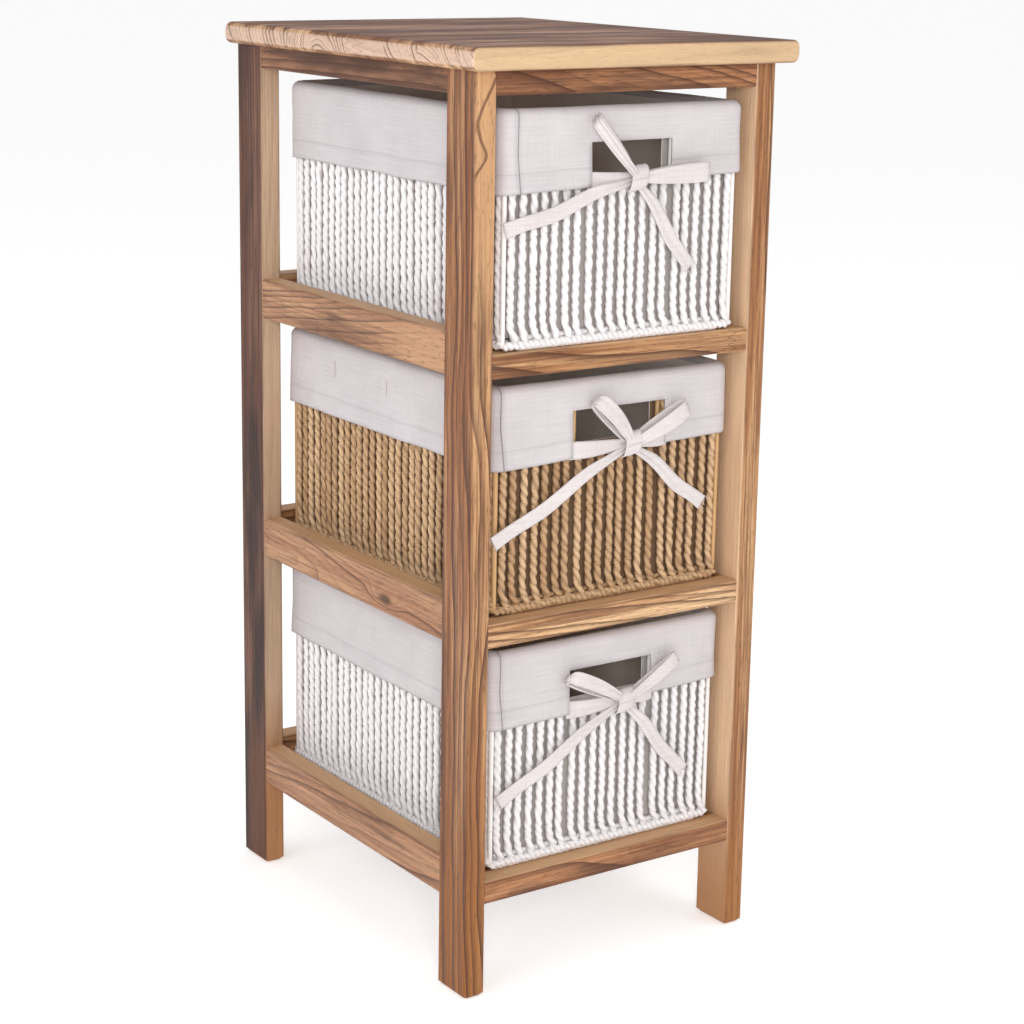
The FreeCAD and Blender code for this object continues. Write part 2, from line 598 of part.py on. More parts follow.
def make_rope_walls():
    """The rope walls and floor of one basket, round the basket's own origin."""
    right, back, upward = Vector(1, 0, 0), Vector(0, 1, 0), Vector(0, 0, 1)
    low = value(f"{BOTTOM_AXIS} + {LINK_END}")
    high = value(f"{RIM_AXIS} - {LINK_END}")
    handle_high = value(f"{HANDLE_AXIS} - wire_width / 2 - soft_clearance - rope_width / 2")
    post_x, post_y, end, pitch = (value(f) for f in (POST_X, POST_Y, STRAND_END, FRONT_PITCH))
    counts = (HANDLE_LEFT_STRANDS, HANDLE_STRANDS, HANDLE_RIGHT_STRANDS)
    step = value(HANDLE_STEP)
    front_ropes = []
    x = end - post_x
    for name, count, top in zip(("left", "short", "right"), counts, (high, handle_high, high)):
        first = Vector(x, -post_y, 0)
        front_ropes.append(winding(f"front_{name}", count - 1, right, upward, first, pitch, low, top))
        x += (count - 1) * pitch + step
    back_first = Vector(end - post_x, post_y, 0)
    back_pitch = value(BACK_ROOM) / BACK_STEPS
    back_rope = winding("back", BACK_STEPS, right, upward, back_first, back_pitch, low, high)
    side_pitch = value(SIDE_ROOM) / SIDE_STEPS
    side_ropes = []
    for name, side in (("left", -1), ("right", 1)):
        first = Vector(side * post_x, end - post_y, 0)
        side_ropes.append(winding(name, SIDE_STEPS, back, upward, first, side_pitch, low, high))
    reach = post_y - value(LINK_END)
    floor_first = Vector(value(LINK_END) - post_x, 0, value(BOTTOM_AXIS))
    floor_pitch = value(FLOOR_ROOM) / FLOOR_STEPS
    floor_rope = winding("floor", FLOOR_STEPS, right, back, floor_first, floor_pitch, -reach, reach)
    return {
        "rope_front": front_ropes,
        "rope_back": [back_rope],
        "rope_sides": side_ropes,
        "rope_floor": [floor_rope],
    }


ALONG = {
    "x": Rotation(Vector(0, 1, 0), 90),
    "y": Rotation(Vector(1, 0, 0), -90),
    "z": Rotation(),
}


def rod(name, way, x, y, z, length, radius):
    """A straight rod, eight sided, that starts at a place and runs along an axis."""
    prism = doc.addObject("Part::Prism", name)
    prism.Polygon = WIRE_SIDES
    bind(prism, Circumradius=radius, Height=length)
    place(prism, x, y, z, ALONG[way])
    return prism


def make_wire_frame():
    """Welded wires of one basket: corner posts, rim and bottom wires, and the handle wire."""
    radius = "wire_width / 2"
    wires = []
    for x in (f"-{POST_X}", POST_X):
        for y in (f"-{POST_Y}", POST_Y):
            name = f"wire_post_{len(wires)}"
            wires.append(rod(name, "z", x, y, BOTTOM_AXIS, f"{RIM_AXIS} - {BOTTOM_AXIS}", radius))
    for level, z in (("bottom", BOTTOM_AXIS), ("rim", RIM_AXIS)):
        for side in ("-", ""):
            name = f"wire_{level}_{len(wires)}"
            cross_place = (f"-{POST_X}", f"{side}{POST_Y}", z)
            long_place = (f"{side}{POST_X}", f"-{POST_Y}", z)
            wires.append(rod(f"{name}_x", "x", *cross_place, f"2 * {POST_X}", radius))
            wires.append(rod(f"{name}_y", "y", *long_place, f"2 * {POST_Y}", radius))
    drop = f"{RIM_AXIS} - {HANDLE_AXIS}"
    for name, x in (("left", HANDLE_LEFT), ("right", HANDLE_RIGHT)):
        wires.append(rod(f"wire_handle_{name}", "z", x, f"-{POST_Y}", HANDLE_AXIS, drop, radius))
    wires.append(rod("wire_handle_bar", "x", HANDLE_LEFT, f"-{POST_Y}", HANDLE_AXIS, HANDLE_SPAN, radius))
    frame = doc.addObject("Part::MultiFuse", "WireFrame")
    frame.Shapes = wires
    return [frame]


def wrap(name, way, x, y, z, length):
    """A length of rope wrapped round a wire: a sleeve with the wire's bore."""
    sleeve = rod(f"{name}_outside", way, x, y, z, length, "wrap_width / 2")
    bore = rod(f"{name}_bore", way, x, y, z, length, "wire_width / 2 + wire_clearance")
    rope = doc.addObject("Part::Cut", name)
    rope.Base = sleeve
    rope.Tool = bore
    return rope


def make_wraps(name, z, front_runs):
    """Wrapped ropes along one level of wires, with the front in the given runs."""
    wraps = []
    for index, (start, length) in enumerate(front_runs):
        wraps.append(wrap(f"{name}_front_{index}", "x", start, f"-{POST_Y}", z, length))
    whole_x = f"2 * ({POST_X} - {WRAP_END})"
    whole_y = f"2 * ({POST_Y} - {WRAP_END})"
    start_x = f"{WRAP_END} - {POST_X}"
    start_y = f"{WRAP_END} - {POST_Y}"
    wraps.append(wrap(f"{name}_back", "x", start_x, POST_Y, z, whole_x))
    wraps.append(wrap(f"{name}_left", "y", f"-{POST_X}", start_y, z, whole_y))
    wraps.append(wrap(f"{name}_right", "y", POST_X, start_y, z, whole_y))
    return wraps


def make_rim_wraps():
    """The rim's front wrap stops at both legs of the handle wire."""
    room = "(wire_width / 2 + soft_clearance)"
    start = f"({WRAP_END} - {POST_X})"
    runs = [
        (start, f"{HANDLE_LEFT} - {room} - {start}"),
        (f"{HANDLE_LEFT} + {room}", f"{HANDLE_SPAN} - 2 * {room}"),
        (f"{HANDLE_RIGHT} + {room}", f"-{start} - {HANDLE_RIGHT} - {room}"),
    ]
    return make_wraps("rim_wrap", RIM_AXIS, runs)


def make_bottom_wraps():
    start = f"({WRAP_END} - {POST_X})"
    return make_wraps("bottom_wrap", BOTTOM_AXIS, [(start, f"-2 * {start}")])


def make_liner():
    """Cloth bag of one basket, folded over the rim into a cuff with a handle notch."""
    body = doc.addObject("PartDesign::Body", "Liner")

    def block(name, width, depth, bevel, offset):
        sketch = new_sketch(body, name, "XY_Plane", offset)
        bevelled_rectangle(sketch, centred(width), centred(depth), width, depth, bevel)
        return sketch

    inner_bevel = f"(basket_corner - {BEVEL_STEP})"
    cuff = block("cuff_outline", BASKET_WIDTH, BASKET_DEPTH, "basket_corner", HEM)
    pad(body, "cuff_block", cuff, "cuff_drop")
    bag = block("bag_outline", BAG_WIDTH, BAG_DEPTH, inner_bevel, BAG_FLOOR)
    whole = pad(body, "bag_block", bag, f"{BASKET_HEIGHT} - {BAG_FLOOR}")
    doc.recompute()
    bevel_edges(body, "rim_fold", whole, edges_at(whole.Shape, "Z", value(BASKET_HEIGHT)), "rim_bevel")
    cuff_width = f"({BASKET_WIDTH} - 2 * cloth_thickness)"
    cuff_depth = f"({BASKET_DEPTH} - 2 * cloth_thickness)"
    space = block("rope_space_outline", cuff_width, cuff_depth, inner_bevel, HEM)
    bevelled_rectangle(space, centred(BAG_WIDTH), centred(BAG_DEPTH), BAG_WIDTH, BAG_DEPTH, inner_bevel)
    pocket(body, "rope_space", space, "cuff_drop - cloth_thickness", reverse=True)
    room_width = f"({BAG_WIDTH} - 2 * cloth_thickness)"
    room_depth = f"({BAG_DEPTH} - 2 * cloth_thickness)"
    room_bevel = f"({inner_bevel} - {BEVEL_STEP})"
    room = block("bag_room_outline", room_width, room_depth, room_bevel, BASKET_HEIGHT)
    pocket(body, "bag_room", room, f"{BASKET_HEIGHT} - {BAG_FLOOR} - cloth_thickness")
    notch = new_sketch(body, "notch_outline", "XZ_Plane", f"{BASKET_DEPTH} / 2 + cloth_thickness")
    notch_left = f"{HANDLE_MIDDLE} - notch_width / 2"
    notch_low = f"{HEM} - notch_rise"
    rounded_rectangle(notch, notch_left, notch_low, "notch_width", "2 * notch_rise", "notch_round")
    pocket(body, "notch", notch, "2 * cloth_thickness + soft_clearance")
    hand = new_sketch(body, "hand_hole_outline", "XZ_Plane", f"{BAG_DEPTH} / 2 + soft_clearance / 2")
    hand_low = f"({HANDLE_AXIS} + wire_width)"
    hand_high = f"({RIM_AXIS} - wrap_width / 2 - soft_clearance)"
    hand_width = f"({HANDLE_SPAN} - 2 * wire_width)"
    hand_left = f"{HANDLE_MIDDLE} - {hand_width} / 2"
    rounded_rectangle(hand, hand_left, hand_low, hand_width, f"{hand_high} - {hand_low}", "notch_round")
    pocket(body, "hand_hole", hand, "2 * cloth_thickness")
    return [body]


def make_bow(prefix):
    """The ribbon of one basket: band across the notch, knot, two loops and two tails."""
    front = f"(-{BASKET_DEPTH} / 2)"
    knot_x = f"({HANDLE_MIDDLE} + {prefix}_knot_offset)"
    knot_z = f"({HEM} + ribbon_width / 2)"
    band = doc.addObject("Part::Box", f"{prefix}_band")
    bind(band, Length="notch_width", Width="cloth_thickness", Height="ribbon_width")
    place(band, f"{HANDLE_MIDDLE} - notch_width / 2", front, HEM)
    block = doc.addObject("Part::Box", f"{prefix}_knot_block")
    bind(block, Length="knot_width", Width="knot_depth", Height="knot_height")
    knot_front = f"{front} + cloth_thickness - knot_depth"
    place(block, f"{knot_x} - knot_width / 2", knot_front, f"{knot_z} - knot_height / 2")
    doc.recompute()
    knot = doc.addObject("Part::Chamfer", f"{prefix}_knot")
    knot.Base = block
    bevel = value("knot_bevel")
    knot.Edges = [(index + 1, bevel, bevel) for index in range(len(block.Shape.Edges))]
    pieces = [band, knot]
    near = f"{front} - ribbon_stand_off"
    for side in ("left", "right"):
        loop = make_loop(f"{prefix}_{side}_loop")
        place_ribbon(loop, f"{prefix}_{side}_loop_angle", knot_x, near, knot_z)
        tail = doc.addObject("PartDesign::Body", f"{prefix}_{side}_tail")
        strip = new_sketch(tail, f"{prefix}_{side}_tail_outline", "XZ_Plane")
        tail_length = f"{prefix}_{side}_tail_length"
        rectangle(strip, "0", "-ribbon_width / 2", tail_length, "ribbon_width")
        pad(tail, f"{prefix}_{side}_tail_strip", strip, "ribbon_thickness")
        place_ribbon(tail, f"{prefix}_{side}_tail_angle", knot_x, near, knot_z)
        pieces += [loop, tail]
    bow = doc.addObject("Part::MultiFuse", f"{prefix}_bow")
    bow.Shapes = pieces
    return bow


def place_ribbon(piece, angle, x, y, z):
    """Turn a ribbon piece about the knot, from the +X way towards +Z."""
    place(piece, x, y, z, Rotation(Vector(0, -1, 0), 1))
    bind(piece, Placement__Rotation__Angle=angle)


def make_loop(name):
    """A closed loop of ribbon that leaves the knot along X and turns back towards -Y."""
    body = doc.addObject("PartDesign::Body", name)
    sketch = new_sketch(body, f"{name}_outline", "XY_Plane", "-ribbon_width / 2")
    inner_depth = "(loop_depth - 2 * ribbon_thickness)"
    inner_length = f"({name}_length - 2 * ribbon_thickness)"
    outer_round = "(loop_depth / 2 - ribbon_thickness / 10)"
    inner_round = f"({outer_round} - ribbon_thickness)"
    rounded_rectangle(sketch, "0", "-loop_depth", f"{name}_length", "loop_depth", outer_round)
    low = "ribbon_thickness - loop_depth"
    rounded_rectangle(sketch, "ribbon_thickness", low, inner_length, inner_depth, inner_round, "_inner")
    pad(body, f"{name}_strip", sketch, "ribbon_width")
    return body


def make_baskets():
    """Model a basket once, then place its copies and tie each its own bow."""
    pieces = make_rope_walls()
    pieces["wire_frame"] = make_wire_frame()
    pieces["rim_rope"] = make_rim_wraps()
    pieces["bottom_rope"] = make_bottom_wraps()
    pieces["liner"] = make_liner()
    for index, prefix in enumerate(("bottom", "middle", "top")):
        x = "top_basket_shift" if prefix == "top" else "lower_basket_shift"
        pull = "top_basket_pull" if prefix == "top" else "0"
        y = f"{BASKET_MIDDLE_Y} - {pull}"
        z = f"first_level + {index} * level_pitch + front_rail_height + soft_clearance"
        for name, links in {**pieces, "ribbon_bow": [make_bow(prefix)]}.items():
            copy = doc.addObject("Part::Compound", f"{prefix}_basket_{name}")
            copy.Links = links
            place(copy, x, y, z)
            finish(copy, f"{prefix}_basket_{name}")


def check_and_write():
    """Stop on any failed object, then write every piece."""
    doc.recompute()
    for thing in doc.Objects:
        if "Invalid" in thing.State or "Error" in thing.State:
            raise RuntimeError(f"{thing.Label} failed: {thing.State}")
    for node in nodes:
        shape = node.Shape
        if shape.isNull() or not shape.isValid() or not shape.Solids:
            raise RuntimeError(f"{node.Label} has no sound solid")
    os.makedirs("parts", exist_ok=True)
    for node in nodes:
        node.Shape.exportStep(os.path.join("parts", f"{node.Label}.step"))
    print(f"{len(nodes)} pieces written")


make_tabletop()
make_legs()
make_rails()
make_runners()
make_screws()
make_baskets()
check_and_write()
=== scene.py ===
"""Slim wooden stand with three rope baskets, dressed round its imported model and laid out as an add-on."""
import math
import random

import bpy
from mathutils import Matrix, Vector, noise


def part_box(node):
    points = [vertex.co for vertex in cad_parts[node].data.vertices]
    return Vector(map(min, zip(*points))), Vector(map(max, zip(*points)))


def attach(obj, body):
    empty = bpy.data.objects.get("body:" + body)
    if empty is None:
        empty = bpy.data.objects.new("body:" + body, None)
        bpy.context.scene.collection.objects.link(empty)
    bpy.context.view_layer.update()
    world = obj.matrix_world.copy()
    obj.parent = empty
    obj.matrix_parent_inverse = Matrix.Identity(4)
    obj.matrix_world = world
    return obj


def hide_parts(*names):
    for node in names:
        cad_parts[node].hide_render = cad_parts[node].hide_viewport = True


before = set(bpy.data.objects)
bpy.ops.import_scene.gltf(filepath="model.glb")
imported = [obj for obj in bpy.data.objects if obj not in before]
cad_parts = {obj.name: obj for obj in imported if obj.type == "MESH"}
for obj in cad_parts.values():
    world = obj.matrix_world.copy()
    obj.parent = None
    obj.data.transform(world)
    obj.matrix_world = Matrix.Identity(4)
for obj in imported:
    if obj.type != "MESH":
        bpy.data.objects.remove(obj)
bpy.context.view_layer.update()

bl_info = {
    "name": "Rope basket stand",
    "version": (1, 0, 0),
    "blender": (4, 5, 0),
    "location": "View3D > Sidebar > Basket stand",
    "description": "Gives the packed basket stand its wood, ropes, liners, bows and studio",
    "category": "Object",
}

MM = 0.001
BASKETS = ("top", "middle", "bottom")
WALLS = ("front", "back", "left", "right")
LEVELS = ("bottom", "lower", "upper", "top")

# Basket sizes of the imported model, in metres from the basket's own middle and bottom
LINER_LOW, LINER_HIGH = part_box("top_basket_liner")
HALF_X = (LINER_HIGH.x - LINER_LOW.x) / 2
HALF_Y = (LINER_HIGH.y - LINER_LOW.y) / 2
POST_X = HALF_X - 0.0055
POST_Y = HALF_Y - 0.0055
RIM_Z = 0.1475
BOTTOM_Z = 0.004
HANDLE_Z = 0.105
FRONT_COUNTS = (7, 8, 6)
FRONT_FIRST = 0.0052 - POST_X
FRONT_BESIDE_HANDLE = 0.0104
FRONT_PITCH = -2 * (FRONT_FIRST + FRONT_BESIDE_HANDLE) / (sum(FRONT_COUNTS) - 3)
HANDLE_LEFT = FRONT_FIRST + (FRONT_COUNTS[0] - 1) * FRONT_PITCH + FRONT_BESIDE_HANDLE / 2
HANDLE_RIGHT = HANDLE_LEFT + (FRONT_COUNTS[1] - 1) * FRONT_PITCH + FRONT_BESIDE_HANDLE
BACK_COUNT = 21
SIDE_FIRST = 0.0052 - POST_Y
SIDE_COUNT = 30
FLOOR_FIRST = 0.0073 - POST_X
FLOOR_COUNT = 17
WALL_TOP = 0.1425
CUFF_FACE_X = HALF_X - 0.0006
CUFF_FACE_Y = HALF_Y - 0.0006
CUFF_CORNER = 0.0085
BAG_X = HALF_X - 0.0093
BAG_Y = HALF_Y - 0.0098
BAG_CORNER = 0.0012
BAG_FLOOR_Z = 0.0071
BAG_TURN = 0.0032
# Marks on the cloth: far from a seam or inside the basket, and outside but well away from the hem
FAR_OFF = 1.0
HEM_FAR = 0.2
FULL_TURN = 2 * math.pi
SPREAD = (-1.0, -0.5, 0.0, 0.5, 1.0)
# How far the rope wound round a wire stands out from it, and above and below it
COIL_OUT = 0.0019
COIL_UP = 0.0012
# Pitch of the linen threads, of the stitches along the hem, and their height above the hem
WEAVE = 0.0011
STITCH = 0.003
STITCH_Z = 0.0128
# The bag's most bulge, how far it hangs in, and how near a corner it is pulled tight
BAG_BULGE = 0.0003
BAG_SAG = 0.0007
BAG_TIGHT = 0.012
# Spacing of the liner's points along X, along Y and up
CLOTH_STEPS = (0.0042, 0.0056, 0.0075)
# Broad and small creases of the liner to a metre, along the cloth and up
BROAD_CREASES = (22, 22)
SMALL_CREASES = (70, 45)
FLOOR_HALF = 30.0


def srgb(red, green, blue):
    """A display colour of 0 to 255 as linear light."""
    return tuple(((part / 255 + 0.055) / 1.055) ** 2.4 for part in (red, green, blue))


def opaque(colour):
    return (colour[0], colour[1], colour[2], 1.0)


def dimmed(colour, share):
    return tuple(part * share for part in colour)


def number_property(name, description, default, **kind):
    return bpy.props.FloatProperty(name=name, description=description, default=default, **kind)


def length_property(name, description, default):
    return number_property(name, description, default, unit="LENGTH", precision=4)


def angle_property(name, description, degrees):
    return number_property(name, description, math.radians(degrees), subtype="ANGLE")


def colour_property(name, description, default):
    return bpy.props.FloatVectorProperty(
        name=name, description=description, default=default, subtype="COLOR", size=3, min=0.0, max=1.0
    )


class RopeSettings(bpy.types.PropertyGroup):
    """Paper rope of the baskets."""

    width: length_property("Rope width", "Across a wall rope", 0.0058)
    lay: length_property("Lay", "Length of one full turn of the plies", 0.014)
    groove: number_property("Groove", "Depth of the groove between two plies, as a share of the radius", 0.34)
    wobble: length_property("Wobble", "How far a rope strays from a straight line", 0.0006)
    step: length_property("Step", "Length of one facet along a rope", 0.0017)
    wire: length_property("Wire width", "Across the wires of the basket frame", 0.0034)
    white: colour_property("White rope", "Colour of the white paper rope", srgb(236, 233, 234))
    natural: colour_property("Natural rope", "Colour of the natural paper rope", srgb(214, 180, 142))


class ClothSettings(bpy.types.PropertyGroup):
    """Liner and ribbon."""

    thickness: length_property("Cloth thickness", "Thickness of the liner cloth", 0.0011)
    ribbon_width: length_property("Ribbon width", "Width of the flat ribbon", 0.0115)
    ribbon_thickness: length_property("Ribbon thickness", "Thickness of the ribbon", 0.0008)
    thread: length_property("Thread width", "Across a loose thread", 0.0004)
    crease: length_property("Crease height", "Height of the soft creases in the liner", 0.0011)
    liner: colour_property("Liner", "Colour of the liner cloth", srgb(204, 197, 199))
    ribbon: colour_property("Ribbon", "Colour of the ribbon", srgb(217, 209, 208))
    seam: colour_property("Seam", "Colour of the dark seam lines", srgb(96, 90, 94))
    # The inside colour is painted light: the cloth inside a basket is paler, against the shade there
    inside: colour_property("Inside", "Colour of the cloth inside the basket", srgb(248, 238, 228))
    # The two reverse colours are painted shade on the side of a liner that faces the ropes, seen in the gaps
    # between them
    reverse: colour_property("Reverse", "Colour of the cloth behind the ropes", srgb(204, 196, 192))
    natural_reverse_shade: colour_property("Natural reverse shade", "Colour of the cloth behind the natural ropes", srgb(140, 110, 84))


class WoodSettings(bpy.types.PropertyGroup):
    """Torched wood of the stand."""

    honey: colour_property("Honey", "Light colour of the torched wood", srgb(214, 168, 122))
    brown: colour_property("Brown", "Deeper colour of the torched wood", srgb(174, 120, 76))
    streak: colour_property("Streak", "Colour of the thin fibre streaks", srgb(126, 78, 46))
    line: colour_property("Grain line", "Colour of the dark grain lines", srgb(78, 42, 24))
    char: colour_property("Char", "Colour of the charred patches", srgb(60, 38, 28))
    ring: length_property("Ring width", "Distance between two grain lines", 0.0062)


class StageSettings(bpy.types.PropertyGroup):
    """Floor, light and camera."""

    floor: colour_property("Floor", "Colour of the studio floor", srgb(246, 246, 246))
    azimuth: angle_property("Azimuth", "Camera angle round the stand", -34.628)
    elevation: angle_property("Elevation", "Camera angle above the floor", 13.237)
    roll: angle_property("Roll", "Camera turn about its own axis", 0.969)
    distance: length_property("Distance", "From the camera to the point it aims at", 1.6924)
    target: bpy.props.FloatVectorProperty(
        name="Target",
        description="Point the camera aims at",
        default=(0.01374, -0.00006, 0.32416),
        subtype="XYZ",
    )
    lens: number_property("Lens", "Focal length on a 36 mm sensor, in millimetres", 82.8)
    shift: number_property("Shift", "Vertical shift of the view, as a share of the frame", -0.0488)


class Wire:
    """A socket in a node tree. Arithmetic on it adds Math nodes, or Vector Math nodes for vectors."""

    def __init__(self, tree, socket=None):
        self.tree = tree
        self.socket = socket

    def node(self, kind, settings=None, inputs=None, output=None):
        """Add any node: its settings are set first, then the values or links of its sockets."""
        made = self.tree.nodes.new(kind)
        for name, value in (settings or {}).items():
            if name == "steps":
                fill_ramp(made.color_ramp, value)
                made.color_ramp.interpolation = "CONSTANT"
            elif name == "bends":
                fill_ramp(made.color_ramp, value)
                made.color_ramp.interpolation = "CARDINAL"
            else:
                setattr(made, name, value)
        for name, value in (inputs or {}).items():
            socket = find_socket(made.inputs, name)
            for item in value if isinstance(value, list) else [value]:
                if isinstance(item, Wire):
                    self.tree.links.new(item.socket, socket)
                else:
                    socket.default_value = item
        return Wire(self.tree, find_socket(made.outputs, output))

    def maths(self, operation, *values):
        vectors = any(isinstance(value, Wire) and value.socket.type == "VECTOR" for value in values)
        if not vectors:
            return self.node("ShaderNodeMath", {"operation": operation}, dict(enumerate(values)))
        full = [value if isinstance(value, (Wire, tuple)) else (value, value, value) for value in values]
        return self.node("ShaderNodeVectorMath", {"operation": operation}, dict(enumerate(full)))

    def __add__(self, other):
        return self.maths("ADD", self, other)

    __radd__ = __add__

    def __sub__(self, other):
        return self.maths("SUBTRACT", self, other)

    def __rsub__(self, other):
        return self.maths("SUBTRACT", other, self)

    def __mul__(self, other):
        return self.maths("MULTIPLY", self, other)

    __rmul__ = __mul__

    def __truediv__(self, other):
        return self.maths("DIVIDE", self, other)

    def __rtruediv__(self, other):
        return self.maths("DIVIDE", other, self)

    def __pow__(self, other):
        return self.maths("POWER", self, other)

    def __abs__(self):
        return self.maths("ABSOLUTE", self)

    def parts(self):
        """The three numbers of a vector."""
        first = self.node("ShaderNodeSeparateXYZ", None, {0: self})
        return [Wire(self.tree, socket) for socket in first.socket.node.outputs]

    def channels(self):
        """The three numbers of a colour."""
        first = self.node("ShaderNodeSeparateColor", None, {0: self})
        return [Wire(self.tree, socket) for socket in first.socket.node.outputs]

    def joined(self, x, y, z):
        return self.node("ShaderNodeCombineXYZ", None, {0: x, 1: y, 2: z})

    def spot(self):
        """Where a point of the surface lies in its own object."""
        return self.node("ShaderNodeTexCoord", output="Object")

    def mark(self, name, output="Fac"):
        """An attribute that the piece was given."""
        return self.node("ShaderNodeAttribute", {"attribute_name": name}, output=output)

    def dot(self, other):
        return self.node("ShaderNodeVectorMath", {"operation": "DOT_PRODUCT"}, {0: self, 1: other}, "Value")

    def scaled(self, factor):
        """A vector times one number."""
        return self.node("ShaderNodeVectorMath", {"operation": "SCALE"}, {0: self, "Scale": factor})

    def rise(self, low, high):
        """0 below low, 1 above high, smooth between."""
        settings = {"interpolation_type": "SMOOTHSTEP"}
        return self.node("ShaderNodeMapRange", settings, {"Value": self, "From Min": low, "From Max": high})

    def noise(self, vector, size=1.0, detail=2.0, seed=0.0, rough=0.5, output=None):
        settings = {"noise_dimensions": "4D"}
        inputs = {"Vector": vector, "W": seed, "Scale": size, "Detail": detail, "Roughness": rough}
        return self.node("ShaderNodeTexNoise", settings, inputs, output)

    def mix(self, factor, first, second, blend="MIX"):
        """Blend two colours, each a wire or plain red, green and blue."""
        first, second = [end if isinstance(end, Wire) else opaque(end) for end in (first, second)]
        settings = {"data_type": "RGBA", "blend_type": blend, "clamp_factor": True}
        return self.node("ShaderNodeMix", settings, {"Factor": factor, "A": first, "B": second})


def find_socket(sockets, name):
    """The socket of that number or name that the node's settings leave in use."""
    if isinstance(name, int):
        return sockets[name]
    in_use = [socket for socket in sockets if socket.enabled and name in (None, socket.name)]
    return in_use[0]


def fill_ramp(ramp, stops):
    while len(ramp.elements) < len(stops):
        ramp.elements.new(1.0)
    for element, (place, colour) in zip(ramp.elements, stops):
        element.position = place
        element.color = colour


def new_material(name):
    """A material with its first wire and its shader."""
    material = bpy.data.materials.new(name)
    material.use_nodes = True
    tree = material.node_tree
    shader = next(node for node in tree.nodes if node.type == "BSDF_PRINCIPLED")
    return material, Wire(tree), shader


def feed(root, shader, **sockets):
    """Link wires to a shader's sockets, or set plain numbers on them."""
    for name, value in sockets.items():
        socket = shader.inputs[name.replace("_", " ")]
        if isinstance(value, Wire):
            root.tree.links.new(value.socket, socket)
        else:
            socket.default_value = value


def bump(root, height, distance, strength=1.0):
    return root.node("ShaderNodeBump", None, {"Height": height, "Distance": distance, "Strength": strength})


def new_group(name, sockets):
    """A geometry tree with named inputs and its first wire."""
    tree = bpy.data.node_groups.new(name, "GeometryNodeTree")
    for title, kind, default in sockets:
        socket = tree.interface.new_socket(title, in_out="INPUT", socket_type=f"NodeSocket{kind}")
        if default is not None:
            socket.default_value = default
    tree.interface.new_socket("Geometry", in_out="OUTPUT", socket_type="NodeSocketGeometry")
    start = tree.nodes.new("NodeGroupInput")
    inputs = {title: Wire(tree, start.outputs[title]) for title, *rest in sockets}
    return tree, Wire(tree), inputs


def end_group(root, geometry, material):
    """Every tree ends in plain geometry with its material."""
    smooth = root.node("GeometryNodeSetShadeSmooth", None, {"Geometry": geometry})
    real = root.node("GeometryNodeRealizeInstances", None, {"Geometry": smooth})
    painted = root.node("GeometryNodeSetMaterial", None, {"Geometry": real, "Material": material})
    end = root.tree.nodes.new("NodeGroupOutput")
    root.tree.links.new(painted.socket, end.inputs[0])


def round_outline(root, sides, width):
    return root.node("GeometryNodeCurvePrimitiveCircle", None, {"Resolution": sides, "Radius": width / 2})


def drawn_along(root, curve, ring):
    """A closed tube with the outline of a ring along every curve."""
    ends = {"Curve": curve, "Profile Curve": ring, "Fill Caps": True}
    return root.node("GeometryNodeCurveToMesh", None, ends)


